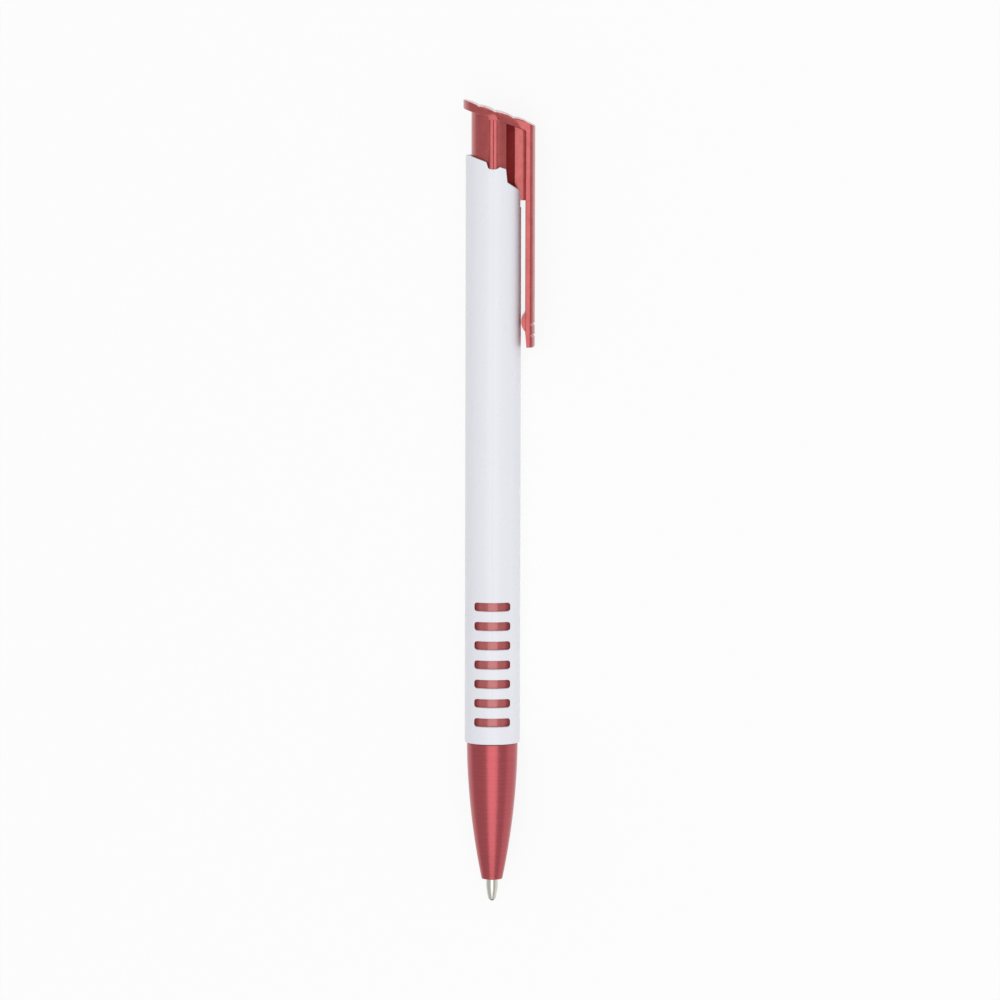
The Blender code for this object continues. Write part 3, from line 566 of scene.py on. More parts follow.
def add_barrel_shell(shape):
    """The tube as rings from its foot up the outside, over the rounded rim and down the bore. The
    profile's points are (radius, height, None), or (radius, None, height above the rim)."""
    edge = BARREL_EDGE
    inset, rise = BARREL_FOOT_ROUND
    even = BLOCK_FOOT - RIM_ZONE
    foot_round = arc((BARREL_RADIUS - inset, BARREL_FOOT + rise), (inset, rise), -QUARTER, 0, steps=8)
    outer_edge = arc((BARREL_RADIUS - edge, -edge), edge, 0, QUARTER, EDGE_STEPS)
    inner_edge = arc((BORE + edge, -edge), edge, QUARTER, math.pi, EDGE_STEPS)
    profile = [(radius, level, None) for radius, level in foot_round]
    profile += [(BARREL_RADIUS, SLEEVE_TOP, None), (BARREL_RADIUS, even, None)]
    profile += [(radius, None, above) for radius, above in outer_edge + inner_edge]
    profile += [(BORE, even, None), (BORE, SLEEVE_TOP, None), (BORE, BARREL_FOOT, None)]
    rings = []
    for radius, level, above_rim in profile:
        half = rim_columns(radius)
        whole = half + [(math.tau - angle, height) for angle, height in reversed(half[1:-1])]
        ring = []
        for angle, height in whole:
            z = level if above_rim is None else height + above_rim
            ring.append(shape.verts.new(around(radius, angle, z)))
        rings.append(ring)
    join_rings(shape, rings, loop=True)


def slot_outline(middle, grow):
    """A finger slot from its own side: a bar with round corners, larger all round by grow, with points
    enough on its long sides to follow the barrel's curve."""
    outline = []
    corner = SLOT_CORNER + grow
    straight = SLOT_HALF_WIDTH - SLOT_CORNER
    steps = 20
    for number, (side, end) in enumerate(((1, 1), (-1, 1), (-1, -1), (1, -1))):
        centre = (side * straight, middle + end * (SLOT_HEIGHT / 2 - SLOT_CORNER))
        start = number * QUARTER
        outline += arc(centre, corner, start, start + QUARTER, steps=8)
        if side == end:
            level = middle + end * (SLOT_HEIGHT / 2 + grow)
            outline += [(side * straight * (1 - 2 * i / steps), level) for i in range(1, steps)]
    return outline


def add_slots(shape):
    """Cutters for both rows of slots. They go straight through the wall, as the mould's cores do, and
    flare where they leave it, which rounds the slots' outer edges."""
    edge = BARREL_EDGE
    angles = (0, math.pi / 6, math.pi / 3)
    rings = [(BARREL_RADIUS - edge * (1 - math.sin(a)), edge * (1 - math.cos(a))) for a in angles]
    rings.append((rings[-1][0] + SLOT_FLARE, rings[-1][1] + SLOT_FLARE * math.tan(angles[-1])))
    for side in (-1, 1):
        for i in range(SLOT_COUNT):
            middle = BARREL_FOOT + SLOT_FIRST + i * SLOT_PITCH
            rows = [[shape.verts.new((x, side * 0.5 * BORE, z)) for x, z in slot_outline(middle, 0)]]
            for radius, grow in rings:
                outline = slot_outline(middle, grow)
                on_round = [(x, side * math.sqrt(radius**2 - x**2), z) for x, z in outline]
                rows.append([shape.verts.new(point) for point in on_round])
            rows.append([shape.verts.new((x, side * BEYOND, z)) for x, z in outline])
            join_rings(shape, rows, ends=True)


def add_cam(shape):
    """The ceiling ring and the ribs below it, whose slanted teeth turn and hold the rotor."""
    rib_span = math.tau / CHANNEL_COUNT - 2 * CHANNEL_HALF_ANGLE
    ceiling = CAM_TIPS + CEILING_RISE
    in_wall = 0.5 * (BORE + BARREL_RADIUS)
    steps = 6
    stations = []
    for k in range(CHANNEL_COUNT):
        channel = math.tau * k / CHANNEL_COUNT
        rib = channel + CHANNEL_HALF_ANGLE
        stations += [(channel, ceiling), (rib - TOOTH_SIDE, ceiling)]
        for tooth in range(TEETH_PER_CHANNEL):
            for i in range(steps + 1):
                share = i / steps
                angle = rib + rib_span * (tooth + share) / TEETH_PER_CHANNEL
                angle += TOOTH_SIDE if share == 0 else -TOOTH_SIDE
                stations.append((angle, CAM_TIPS + TOOTH_HEIGHT * share))
        stations.append((rib + rib_span + TOOTH_SIDE, ceiling))
    rows = [(angle, low, ceiling + CAM_CEILING) for angle, low in stations]
    add_curved_block(shape, rows, CAM_RIB_FACE, in_wall, ring=True)


def make_barrel(material):
    slot_half = BLOCK_HALF_WIDTH + RUN_GAP
    slot = box_outline(BODY_FLAT, BEYOND, -slot_half, slot_half)
    slot_foot = BLOCK_FOOT - PRESS_TRAVEL - CLIP_SLOT_GAP
    groove_half = GUIDE_RIB_HALF_WIDTH + RUN_GAP
    groove_face = GUIDE_RIB_FACE + RUN_GAP
    groove = box_outline(-groove_half, groove_half, -groove_face, groove_face)
    groove_foot = BODY_FOOT - PRESS_TRAVEL - RUN_GAP
    above = BARREL_TOP + BEYOND
    mesh = combined(
        mesh_from("barrel shell", add_barrel_shell),
        ("UNION", mesh_from("cam", add_cam)),
        ("DIFFERENCE", prism("clip slot", slot, slot_foot, above)),
        ("DIFFERENCE", prism("guide grooves", groove, groove_foot, above)),
        ("DIFFERENCE", mesh_from("finger slots", add_slots)),
    )
    round_normals(mesh, BARREL_RADIUS)
    place("fine_barrel", mesh, material, "barrel", "barrel")


def button_top(x):
    """Height of the button's slanted top at a place across the pen."""
    return BUTTON_TOP - BUTTON_SLOPE * (x - PLATE_LEFT)


def inside_plate(x, y=0):
    """Height of the middle of the button's top plate above (x, y), where the shapes below it end."""
    return button_top(x) - 0.5 * PLATE_THICKNESS


def button_outline():
    """The plate and the clip from the side: cushions between rounded grooves on the slanted top, and the
    clip hanging from its low end, with the ridge that bears on the barrel."""
    outline = []
    starts = [PLATE_LEFT] + [x + GROOVE_HALF_WIDTH for x in TOP_GROOVES]
    ends = [x - GROOVE_HALF_WIDTH for x in TOP_GROOVES] + [CLIP_OUTER - PLATE_END_LENGTH]
    steps = 8
    for number, (start, end) in enumerate(zip(starts, ends)):
        for i in range(steps + 1):
            x = start + (end - start) * i / steps
            crown = CUSHION_CROWN * (4 * i / steps * (1 - i / steps) - 1)
            outline.append((x, button_top(x) + crown))
        if number < len(TOP_GROOVES):
            for share in (-GROOVE_FLOOR, 0, GROOVE_FLOOR):
                x = TOP_GROOVES[number] + share * GROOVE_HALF_WIDTH
                depth = GROOVE_DEPTH * (1 - GROOVE_CURVE * share**2)
                outline.append((x, button_top(x) - CUSHION_CROWN - depth))
    outline.append((CLIP_OUTER, button_top(CLIP_OUTER) - CUSHION_CROWN - PLATE_END_DROP))
    corner = (CLIP_OUTER - CLIP_END_ROUND, CLIP_END + CLIP_END_ROUND)
    outline += arc(corner, CLIP_END_ROUND, 0, -QUARTER, steps=6)
    outline += [(CLIP_INNER + CLIP_END_FLARE, CLIP_END)]
    ridge = (BARREL_RADIUS + SEAT_GAP + RIDGE_RADIUS, CLIP_END + RIDGE_RISE)
    half = math.acos((ridge[0] - CLIP_INNER) / RIDGE_RADIUS)
    outline += arc(ridge, RIDGE_RADIUS, math.pi + half, math.pi - half, steps=20)
    outline += [(CLIP_INNER, button_top(CLIP_INNER) - PLATE_THICKNESS)]
    return outline + [(PLATE_LEFT, button_top(PLATE_LEFT) - PLATE_THICKNESS)]


def plan_outline():
    """The plate and the clip from above: a rounded thumb lip that narrows to the clip's width, and the
    clip's crowned outer face with a flat strip down its middle."""
    lip = (PLATE_LEFT + PLATE_LIP_LENGTH, 0)
    half = arc(lip, (PLATE_LIP_LENGTH, PLATE_HALF_WIDTH), math.pi, QUARTER, steps=28)
    steps = 12
    for i in range(steps):
        share = i / steps
        x = PLATE_TAPER_START + (CLIP_INNER - PLATE_TAPER_START) * share
        half.append((x, PLATE_HALF_WIDTH + (CLIP_HALF_WIDTH - PLATE_HALF_WIDTH) * share))
    for angle in [0] + quarter_steps(EDGE_STEPS):
        half.append((CLIP_INNER + MOULD_ROUND * (1 - math.cos(angle)), CLIP_HALF_WIDTH))
    side = CLIP_HALF_WIDTH - CLIP_EDGE_ROUND
    centre = (math.sqrt((CLIP_CROWN_RADIUS - CLIP_EDGE_ROUND) ** 2 - side**2), side)
    edge = math.atan2(side, centre[0])
    half += arc(centre, CLIP_EDGE_ROUND, QUARTER, edge, steps=8)
    flat = math.acos(CLIP_OUTER / CLIP_CROWN_RADIUS)
    half += arc((0, 0), CLIP_CROWN_RADIUS, edge, flat, steps=6)[1:]
    return half + [(x, -y) for x, y in reversed(half[1:])]


def drawn_in(outline, distance):
    """A clockwise outline with its points moved inwards, by a distance that depends on their x."""
    moved = []
    for i, (x, y) in enumerate(outline):
        before, after = outline[i - 1], outline[(i + 1) % len(outline)]
        along = Vector((after[0] - before[0], after[1] - before[1])).normalized()
        moved.append((x + along.y * distance(x), y - along.x * distance(x)))
    return moved


def plate_share(x, fade):
    """1 at the plate and 0 at the clip, fading out just before the clip's inner face."""
    return min(1, max(0, (CLIP_INNER - x) / fade))


def plate_section(drop):
    """The plan at a depth below the plate's slanted top: round at both of the plate's edges, with sides
    that draw in towards its lower face."""
    top, edge = PLATE_EDGE, MOULD_ROUND
    above = top * (1 - math.sqrt(1 - max(0, 1 - drop / top) ** 2))
    low = min(1, max(0, 1 - (PLATE_THICKNESS - drop) / edge))
    below = edge * (1 - math.sqrt(1 - low**2))
    lean = PLATE_DRAFT * drop / (PLATE_THICKNESS * PLATE_HALF_WIDTH)
    fade = CLIP_INNER - PLATE_DRAFT_END
    outline = [(x, y * (1 - lean * plate_share(x, fade))) for x, y in plan_outline()]
    return drawn_in(outline, lambda x: above + below * plate_share(x, 2 * edge))


def clip_section(inset):
    """The plan below the plate, where only the clip is: its inner edges are round."""
    outline = []
    for x, y in plan_outline():
        corner = min(1, max(0, (CLIP_INNER + MOULD_ROUND - x) / MOULD_ROUND))
        widest = CLIP_HALF_WIDTH - MOULD_ROUND * (1 - math.sqrt(1 - corner**2))
        outline.append((x, math.copysign(min(abs(y), widest), y)))
    return drawn_in(outline, lambda x: inset)


def add_plan(shape):
    """The plan as a solid: the plate's sections down to its lower face, and below it the clip's, which are
    drawn in round its end. The plate's last ring lies a little below its lower face, so that no ring
    lies in that face, where the outline from the side cuts."""
    rings = []
    top, edge = PLATE_EDGE, MOULD_ROUND
    drops = [0] + [top * (1 - math.cos(angle)) for angle in quarter_steps(5)]
    drops += [PLATE_THICKNESS - edge * (1 - math.sin(angle)) for angle in [0] + quarter_steps(EDGE_STEPS)]
    drops[-1] += CUT_MARGIN
    for drop in drops:
        rings.append([shape.verts.new((x, y, button_top(x) - drop)) for x, y in plate_section(drop)])
    below = PLATE_THICKNESS + edge
    rings.append([shape.verts.new((x, y, button_top(x) - below)) for x, y in clip_section(0)])
    for angle in [0] + quarter_steps(EDGE_STEPS):
        level = CLIP_END + edge * (1 - math.sin(angle))
        section = clip_section(edge * (1 - math.cos(angle)))
        rings.append([shape.verts.new((x, y, level)) for x, y in section])
    rings.insert(0, [shape.verts.new((v.co.x, v.co.y, BUTTON_TOP + BARREL_RADIUS)) for v in rings[0]])
    rings.append([shape.verts.new((v.co.x, v.co.y, CLIP_END - edge)) for v in rings[-1]])
    join_rings(shape, rings, ends=True)


def add_clip_grooves(shape):
    """Cutters for the flared grooves near the clip's end, which follow the curve of its outer face."""
    reach_angle = CLIP_GROOVE_REACH * math.atan2(CLIP_HALF_WIDTH, CLIP_INNER)
    steps = 24
    inner, outer = CLIP_CROWN_RADIUS - CLIP_GROOVE_DEPTH, CLIP_CROWN_RADIUS + CLIP_GROOVE_DEPTH
    for rise in CLIP_GROOVES:
        low, high = CLIP_END + rise - CLIP_GROOVE_FLOOR, CLIP_END + rise + CLIP_GROOVE_FLOOR
        rows = [(reach_angle * (2 * i / steps - 1), low, high) for i in range(steps + 1)]
        add_curved_block(shape, rows, inner, outer, flare=outer - inner)


def body_outline():
    """The button's body: a round with a flat that faces the clip."""
    flat = math.acos(BODY_FLAT / BODY_RADIUS)
    return arc((0, 0), BODY_RADIUS, flat, math.tau - flat, steps=80)


def guide_rib_outline(side):
    """A guide rib: two round beads with a seam between them."""
    half = [(GUIDE_RIB_HALF_WIDTH, GUIDE_RIB_ROOT)]
    wide, deep = GUIDE_RIB_SIDE
    half += arc((GUIDE_RIB_HALF_WIDTH - wide, GUIDE_RIB_FACE - deep), (wide, deep), 0, QUARTER, steps=8)
    wide, deep = GUIDE_RIB_SEAM
    half += arc((wide, GUIDE_RIB_FACE - deep), (wide, deep), QUARTER, GUIDE_RIB_SEAM_END, steps=6)
    whole = half + [(-x, y) for x, y in reversed(half)]
    return [(x, side * y) for x, y in whole]


def web_outline():
    """The web between body and clip block, which thins towards the body."""
    half = [(0.5 * BODY_FLAT, WEB_WAIST), (BODY_FLAT, WEB_WAIST)]
    half += [(BLOCK_START, WEB_HALF_WIDTH), (BLOCK_START + MOULD_ROUND, WEB_HALF_WIDTH)]
    return mirrored(half)


def block_outline():
    """The clip block, with gently round sides and rounded edges towards the body."""
    size = MOULD_ROUND
    middle = 0.5 * (BLOCK_START + CLIP_INNER)
    steps = 10
    half = [(0.5 * (CLIP_INNER + CLIP_OUTER), BLOCK_ROOT_HALF_WIDTH)]
    for i in range(steps + 1):
        x = CLIP_INNER + (BLOCK_START + size - CLIP_INNER) * i / steps
        half.append((x, BLOCK_HALF_WIDTH - (x - middle) ** 2 / (2 * BLOCK_CROWN_RADIUS)))
    corner = half[-1]
    half += arc((corner[0], corner[1] - size), size, QUARTER, math.pi, steps=5)[1:]
    return mirrored(half)


def add_crown(shape):
    """The stem's foot: a ring of teeth that point down, two to each channel."""
    teeth = TEETH_PER_CHANNEL * CHANNEL_COUNT
    per_tooth = 10
    head = BODY_FOOT + 0.5 * BODY_BORE_RADIUS
    stations = []
    for i in range(teeth * per_tooth):
        share = (i % per_tooth) / per_tooth
        rise = TOOTH_HEIGHT * abs(2 * share - 1)
        angle = math.tau * i / (teeth * per_tooth)
        stations.append((angle, CAM_TIPS + rise, head))
    add_curved_block(shape, stations, CROWN_BORE, CROWN_RADIUS, ring=True)


def add_lugs(shape):
    """Snap lugs on the stem that run in the channels and stop at the ceiling."""
    foot = CAM_TIPS + TOOTH_HEIGHT + RUN_GAP
    for k in range(CHANNEL_COUNT):
        channel = math.tau * k / CHANNEL_COUNT
        angles = [channel + LUG_HALF_ANGLE * share for share in (-1, -0.5, 0, 0.5, 1)]
        rows = [(angle, foot, CAM_TIPS + LUG_HEIGHT) for angle in angles]
        add_curved_block(shape, rows, 0.5 * (CROWN_BORE + CROWN_RADIUS), CROWN_RADIUS + LUG_REACH)


def make_plunger(material):
    """The red moulding. The clip's grooves are cut last, because cut earlier they broke the Booleans
    that came after them."""
    foot = 2 * MOULD_ROUND
    rib_top = button_top(0) - PLATE_THICKNESS - GUIDE_RIB_TOP_GAP
    ribs = [prism("guide rib", guide_rib_outline(side), BODY_FOOT + foot, rib_top) for side in (-1, 1)]
    bore = arc((0, 0), BODY_BORE_RADIUS, 0, math.tau, steps=48)[:-1]
    bore_roof = inside_plate(BODY_BORE_RADIUS) - BODY_ROOF
    mesh = combined(
        prism("button side", button_outline(), -BEYOND, BEYOND, sideways=True),
        ("INTERSECT", mesh_from("button plan", add_plan)),
        ("UNION", prism("button body", body_outline(), BODY_FOOT, inside_plate)),
        ("UNION", prism("web", web_outline(), BLOCK_FOOT + foot, inside_plate)),
        ("UNION", prism("clip block", block_outline(), BLOCK_FOOT, inside_plate)),
        ("UNION", ribs[0]),
        ("UNION", ribs[1]),
        ("UNION", mesh_from("crown", add_crown)),
        ("UNION", mesh_from("lugs", add_lugs)),
        ("DIFFERENCE", prism("button bore", bore, BODY_FOOT - BEYOND, bore_roof)),
        ("DIFFERENCE", mesh_from("clip grooves", add_clip_grooves)),
    )
    round_normals(mesh, BODY_RADIUS)
    place("fine_plunger_clip", mesh, material, "plunger", "plunger_clip")


def nose_radius(level):
    """The cone's radius at a height. Its slope grows evenly from the top to the exit."""
    drop = NOSE_TOP - level
    end_slope = 2 * (NOSE_RADIUS - NOSE_EXIT_RADIUS) / NOSE_LENGTH - NOSE_TOP_SLOPE
    return NOSE_RADIUS - NOSE_TOP_SLOPE * drop - (end_slope - NOSE_TOP_SLOPE) * drop**2 / (2 * NOSE_LENGTH)


def make_nose_cone(coat, plastic):
    """The cone and its sleeve in one turned piece: coat on the cone's outside, plastic elsewhere."""
    steps = 60
    edge = SLEEVE_EDGE
    profile = arc((SLEEVE_RADIUS - edge, SLEEVE_TOP - edge), edge, QUARTER, 0, EDGE_STEPS)
    profile.append((SLEEVE_RADIUS, NOSE_TOP))
    highest = NOSE_TOP - NOSE_TOP_CHAMFER
    crest = nose_radius(highest)
    profile += arc((crest - NOSE_TOP_CHAMFER, highest), NOSE_TOP_CHAMFER, QUARTER, 0, steps=5)[:-1]
    lowest = NOSE_EXIT + NOSE_EXIT_ROUND
    for i in range(steps + 1):
        level = highest + (lowest - highest) * i / steps
        profile.append((nose_radius(level), level))
    rim = nose_radius(lowest) - NOSE_EXIT_ROUND
    profile += arc((rim, lowest), NOSE_EXIT_ROUND, NOSE_EXIT_START, -QUARTER, steps=6)
    profile += arc((TIP_BORE + edge, NOSE_EXIT + edge), edge, -QUARTER, -math.pi, EDGE_STEPS)
    seat = SPRING_FOOT - SEAT_GAP
    profile += [(TIP_BORE, seat), (SPRING_BORE, seat), (SPRING_BORE, seat + SPRING_BORE_LENGTH)]
    profile += [(SLEEVE_BORE, NOSE_TOP - NOSE_WALL), (SLEEVE_BORE, SLEEVE_TOP)]
    mesh = turned_mesh("nose cone", profile, FINE_STEPS)
    obj = place("fine_nose_cone", mesh, coat, "barrel", "nose_cone")
    obj.data.materials.append(plastic)
    to_pen = PEN.inverted()
    for face in obj.data.polygons:
        centre = to_pen @ face.center
        outward = PEN.to_3x3() @ Vector((centre.x, centre.y, 0))
        if centre.z > NOSE_TOP or face.normal.dot(outward) < 0:
            face.material_index = 1


def make_writing_tip(material):
    """The turned tip, with the ball's socket and the ink channel through it."""
    lip = BALL_RADIUS - BALL_LIP
    edge = TIP_EDGE
    profile = [(TIP_SHANK_RADIUS - edge, TIP_TOP), (TIP_SHANK_RADIUS, TIP_TOP - edge)]
    profile += [(TIP_SHANK_RADIUS, TIP_LENGTH), (TIP_RADIUS - edge, TIP_LENGTH)]
    profile += [(TIP_RADIUS, TIP_LENGTH - edge)]
    steps = 28
    for i in range(steps + 1):
        level = TIP_TAPER_LENGTH + (lip - TIP_TAPER_LENGTH) * i / steps
        drawn = TIP_TAPER * (1 - level / TIP_TAPER_LENGTH) ** TIP_TAPER_POWER
        profile.append((TIP_RADIUS - drawn, level))
    socket = BALL_RADIUS + BALL_GAP
    start = -math.asin(BALL_LIP / socket)
    end = math.acos(INK_CHANNEL_RADIUS / socket)
    profile += arc((0, BALL_RADIUS), socket, start, end, steps=12)
    profile.append((INK_CHANNEL_RADIUS, TIP_TOP))
    mesh = turned_mesh("writing tip", profile, TIP_STEPS)
    place("fine_writing_tip", mesh, material, "refill", "writing_tip")


def make_writing_ball(material):
    steps = 24
    profile = arc((0, BALL_RADIUS), BALL_RADIUS, QUARTER, -QUARTER, steps)
    profile[0], profile[-1] = (0, 2 * BALL_RADIUS), (0, 0)
    mesh = turned_mesh("writing ball", profile, 2 * steps, closed=False)
    place("fine_writing_ball", mesh, material, "ball", "writing_ball")


def spring_line():
    """The wire's middle line: even turns, with a closer turn at each end."""
    foot = SPRING_FOOT + SPRING_WIRE_RADIUS
    length = SPRING_HEAD - SPRING_FOOT - 2 * SPRING_WIRE_RADIUS
    free_pitch = (length - 2 * SPRING_END_PITCH) / (SPRING_TURNS - 2)
    points = []
    for i in range(SPRING_TURNS * SPRING_POINTS + 1):
        turn = i / SPRING_POINTS
        close = min(turn, 1) + max(turn - SPRING_TURNS + 1, 0)
        level = foot + SPRING_END_PITCH * close + free_pitch * (turn - close)
        points.append(around(SPRING_RADIUS, math.tau * turn, level))
    return points


def add_wire(shape):
    """The spring's wire as a tube of rings."""
    points = spring_line()
    rings = []
    for i, point in enumerate(points):
        along = (points[min(i + 1, len(points) - 1)] - points[max(i - 1, 0)]).normalized()
        out = Vector((point.x, point.y, 0)).normalized()
        side = along.cross(out).normalized()
        out = side.cross(along)
        ring = []
        for k in range(WIRE_SIDES):
            angle = math.tau * k / WIRE_SIDES
            away = math.cos(angle) * out + math.sin(angle) * side
            ring.append(shape.verts.new(point + SPRING_WIRE_RADIUS * away))
        rings.append(ring)
    join_rings(shape, rings, ends=True)


def make_spring(material):
    """The spring, which gets shorter and longer between the nose cone and the refill's flange."""
    obj = place("fine_spring", smooth(mesh_from("spring wire", add_wire)), material, None, "spring")
    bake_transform(obj)


class Look:
    """A procedural material under construction, in the pen's own coordinates in millimetres."""

    def __init__(self, name, **constants):
        self.material, self.tree = new_material(name)
        self.shader = add_node(self.tree, "ShaderNodeBsdfPrincipled", **constants)
        out = self.tree.nodes.new("ShaderNodeOutputMaterial")
        self.link(self.shader.outputs[0], out.inputs["Surface"])
        coordinates = self.tree.nodes.new("ShaderNodeTexCoord")
        frame_of_pen = {"Location": PEN.translation, "Rotation": PEN.to_euler(), "Scale": (mm, mm, mm)}
        turn = add_node(self.tree, "ShaderNodeMapping", **frame_of_pen)
        turn.vector_type = "TEXTURE"
        self.link(coordinates.outputs["Object"], turn.inputs["Vector"])
        self.position = turn.outputs["Vector"]
        self.bumps = None

    def link(self, start, end):
        self.tree.links.new(start, end)

    def noise(self, rates, detail=3.0, roughness=0.5):
        """Noise with its own rate, in changes to the millimetre, along each of the pen's axes."""
        stretch = add_node(self.tree, "ShaderNodeMapping", Scale=rates)
        self.link(self.position, stretch.inputs["Vector"])
        texture = add_node(self.tree, "ShaderNodeTexNoise", Scale=1.0, Detail=detail, Roughness=roughness)
        self.link(stretch.outputs["Vector"], texture.inputs["Vector"])
        return texture.outputs[0]

    def flakes(self, rate):
        """Cells of random brightness, at a rate in cells to the millimetre."""
        cells = add_node(self.tree, "ShaderNodeTexVoronoi", Scale=rate)
        self.link(self.position, cells.inputs["Vector"])
        grey = self.tree.nodes.new("ShaderNodeSeparateColor")
        self.link(cells.outputs["Color"], grey.inputs["Color"])
        return grey.outputs[0]

    def math(self, operation, first, second):
        return add_math(self.tree, operation, first, second)

    def ranged(self, value, low, high, start=0.3, end=0.7):
        """Turns a value between start and end into one between low and high."""
        ends = {"From_Min": start, "From_Max": end, "To_Min": low, "To_Max": high}
        node = add_node(self.tree, "ShaderNodeMapRange", **ends)
        self.link(value, node.inputs["Value"])
        return node.outputs[0]

    def mixed(self, factor, low, high):
        """A colour between two, each a colour or a link."""
        node = self.tree.nodes.new("ShaderNodeMix")
        node.data_type = "RGBA"
        self.link(factor, node.inputs[0])
        for socket, value in zip(node.inputs[6:8], (low, high)):
            if isinstance(value, tuple):
                socket.default_value = (*value, 1.0)
            else:
                self.link(value, socket)
        return node.outputs[2]

    def tones(self, noise, low, high):
        """A colour that goes with a noise from low to high."""
        return self.mixed(self.ranged(noise, 0.0, 1.0), low, high)

    def sparkle(self, rate, most):
        """A random value for each flake, from 0 to most."""
        return self.ranged(self.flakes(rate), 0.0, most, 0.0, 1.0)

    def seam(self, half_width):
        """1 on the line where the mould's halves met, on the pen's sides, and 0 away from it."""
        parts = self.tree.nodes.new("ShaderNodeSeparateXYZ")
        self.link(self.position, parts.inputs[0])
        distance = self.math("ABSOLUTE", parts.outputs[0], 0.0)
        return self.ranged(distance, 1.0, 0.0, 0.0, half_width)

    def colour(self, value):
        self.link(value, self.shader.inputs["Base Color"])

    def rough(self, value):
        self.link(value, self.shader.inputs["Roughness"])

    def bump(self, height, depth):
        """Adds relief whose height goes from 0 to depth, in millimetres."""
        node = add_node(self.tree, "ShaderNodeBump", Strength=1.0, Distance=depth * mm)
        self.link(height, node.inputs["Height"])
        if self.bumps:
            self.link(self.bumps, node.inputs["Normal"])
        self.bumps = node.outputs[0]
        self.link(self.bumps, self.shader.inputs["Normal"])


def barrel_look():
    """White plastic with a fine orange peel, a parting line on either side and light handling marks."""
    look = Look("white barrel plastic", IOR=1.5, Subsurface_Weight=0.06, Subsurface_Scale=0.5 * mm)
    look.shader.inputs["Subsurface Radius"].default_value = (1.0, 0.95, 0.9)
    tone = look.tones(look.noise((0.12, 0.12, 0.05)), (0.872, 0.877, 0.942), (0.887, 0.892, 0.952))
    seam = look.seam(0.08)
    look.colour(look.mixed(look.math("MULTIPLY", seam, 0.25), tone, (0.68, 0.68, 0.74)))
    marks = look.ranged(look.noise((6.0, 6.0, 0.15), detail=4.0), 0.0, 0.01, 0.5, 0.75)
    look.rough(look.math("ADD", look.ranged(look.noise((0.5, 0.5, 0.3)), 0.26, 0.34), marks))
    look.bump(look.noise((2.0, 2.0, 2.0), detail=2.0), 0.0015)
    look.bump(look.math("SUBTRACT", 1.0, seam), 0.01)
    return look.material


def nose_look():
    """Red coat with metal flakes: fine rings from the turning of the cone under the spray."""
    look = Look("satin metallic red", Metallic=0.95, IOR=1.5, Coat_Weight=0.25, Coat_Roughness=0.2)
    rings = look.noise((0.05, 0.05, 3.0), detail=5.0, roughness=0.65)
    flake_rate = 9.0
    tone = look.tones(rings, (0.42, 0.072, 0.084), (0.48, 0.09, 0.105))
    look.colour(look.mixed(look.sparkle(flake_rate, 0.3), tone, (0.55, 0.13, 0.145)))
    look.rough(look.math("ADD", look.ranged(rings, 0.25, 0.3), look.sparkle(flake_rate, 0.05)))
    look.bump(look.flakes(flake_rate), 0.0012)
    look.bump(rings, 0.004)
    return look.material


def sleeve_look():
    """The nose cone's own red plastic, where it has no coat."""
    look = Look("uncoated red plastic", Metallic=0.3, IOR=1.6,
                Coat_Weight=0.8, Coat_Roughness=0.12, Coat_IOR=1.8)
    flow = look.noise((0.4, 0.4, 0.2), detail=4.0)
    look.colour(look.tones(flow, (0.43, 0.05, 0.052), (0.49, 0.066, 0.068)))
    look.rough(look.ranged(look.noise((0.9, 0.9, 0.9)), 0.3, 0.38))
    look.bump(look.noise((2.2, 2.2, 2.2), detail=2.0), 0.003)
    return look.material


def plunger_look():
    """Red plastic with a pearl pigment, which the flow of the melt left uneven, and a fine orange peel."""
    look = Look("pearl red plastic", Metallic=0.65, IOR=1.5,
                Coat_Weight=0.5, Coat_Roughness=0.14, Coat_IOR=1.8)
    flow = look.noise((0.9, 0.9, 0.6), detail=4.0, roughness=0.6)
    flake_rate = 11.0
    tone = look.tones(flow, (0.39, 0.038, 0.039), (0.49, 0.07, 0.07))
    look.colour(look.mixed(look.sparkle(flake_rate, 0.25), tone, (0.54, 0.1, 0.098)))
    look.rough(look.ranged(look.noise((0.7, 0.7, 0.5)), 0.2, 0.28))
    look.bump(look.noise((1.8, 1.8, 1.8), detail=2.0), 0.004)
    look.bump(look.flakes(flake_rate), 0.0008)
    return look.material


def tip_look():
    """Nickel silver with the fine rings that the lathe leaves."""
    look = Look("turned nickel silver", Metallic=1.0)
    rings = look.noise((0.02, 0.02, 9.0), detail=4.0, roughness=0.6)
    look.colour(look.tones(rings, (0.6, 0.59, 0.53), (0.7, 0.69, 0.63)))
    look.rough(look.ranged(rings, 0.18, 0.25))
    look.bump(rings, 0.0015)
    return look.material


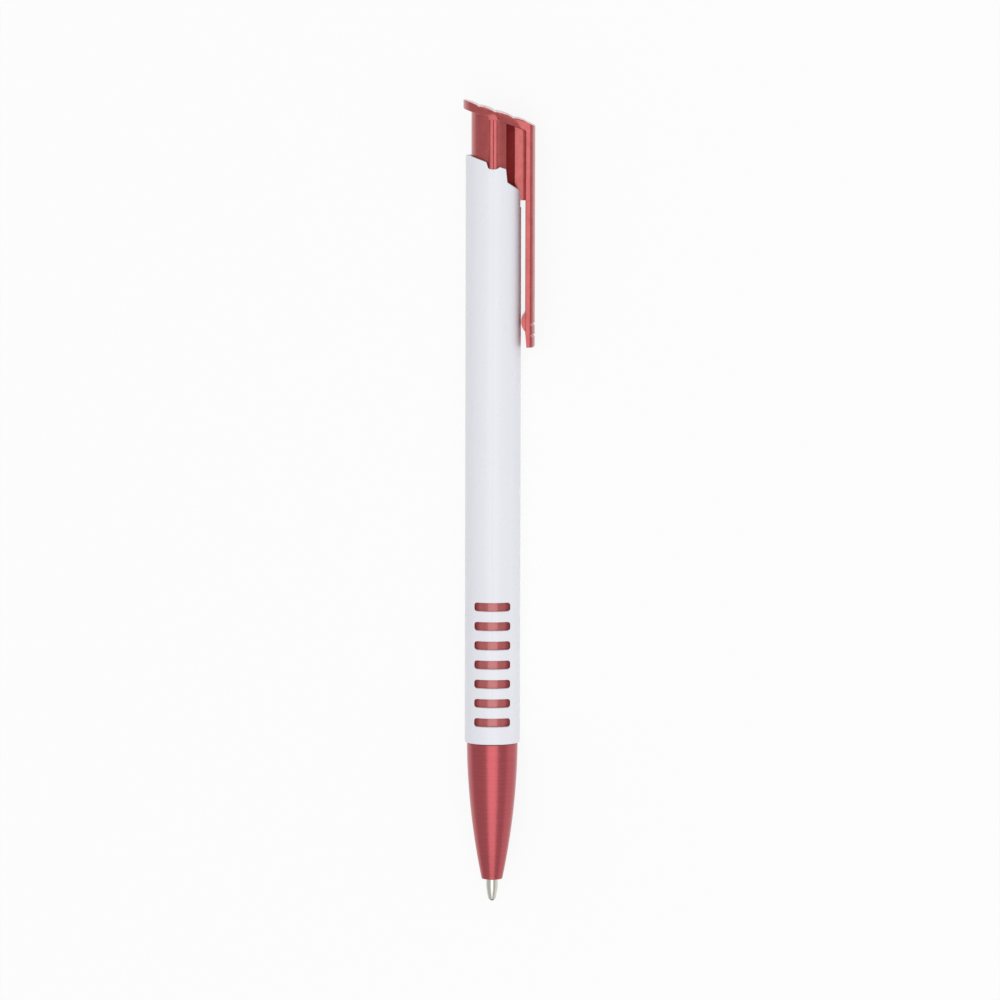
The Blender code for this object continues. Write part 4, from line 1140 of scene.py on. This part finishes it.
def ball_look():
    """Carbide with a fine grain and a trace of ink."""
    look = Look("carbide with ink", Metallic=1.0)
    ink = look.ranged(look.noise((2.5, 2.5, 2.5), detail=3.0), 0.0, 1.0, 0.45, 0.65)
    look.colour(look.mixed(ink, (0.42, 0.42, 0.43), (0.2, 0.21, 0.3)))
    grain = look.noise((30.0, 30.0, 30.0))
    look.rough(look.ranged(grain, 0.14, 0.24))
    look.bump(grain, 0.0004)
    return look.material


def spring_look():
    """Drawn spring wire, with darker and duller streaks."""
    look = Look("drawn spring wire", Metallic=1.0)
    streaks = look.noise((12.0, 12.0, 25.0), detail=3.0)
    look.colour(look.tones(streaks, (0.46, 0.46, 0.47), (0.6, 0.6, 0.6)))
    look.rough(look.ranged(streaks, 0.22, 0.36))
    look.bump(streaks, 0.0015)
    return look.material


def hidden_look(name, low, high, roughness, **constants):
    """Moulded plastic or ink inside the pen: slow changes of tone over a fine grain."""
    look = Look(name, **constants)
    look.colour(look.tones(look.noise((1.0, 1.0, 0.4)), low, high))
    grain = look.noise((5.0, 5.0, 5.0))
    look.rough(look.ranged(grain, *roughness))
    look.bump(grain, 0.002)
    return look.material


bpy.context.scene.view_settings.view_transform = "Standard"
make_camera()
make_light()
make_floor()
make_nose_cone(nose_look(), sleeve_look())
make_writing_tip(tip_look())
make_writing_ball(ball_look())
make_spring(spring_look())
make_barrel(barrel_look())
make_plunger(plunger_look())
# The CAD nodes that stay, each with its own procedural material
HIDDEN = {
    "cam_rotor": hidden_look("natural acetal", (0.72, 0.71, 0.66), (0.8, 0.79, 0.75), (0.3, 0.42), IOR=1.48),
    "ink_tube": hidden_look("clear polypropylene", (0.84, 0.86, 0.86), (0.9, 0.91, 0.91), (0.12, 0.24),
                            IOR=1.49, Transmission_Weight=0.8),
    "ink_column": hidden_look("blue ink", (0.006, 0.012, 0.09), (0.012, 0.025, 0.15), (0.1, 0.25), IOR=1.48),
    "tip_holder": hidden_look("black moulded plastic", (0.02, 0.02, 0.022), (0.035, 0.035, 0.037),
                              (0.34, 0.48), IOR=1.5),
}
for node, material in HIDDEN.items():
    mesh = smooth(frame["nodes"][node].data)
    mesh.materials.clear()
    mesh.materials.append(material)
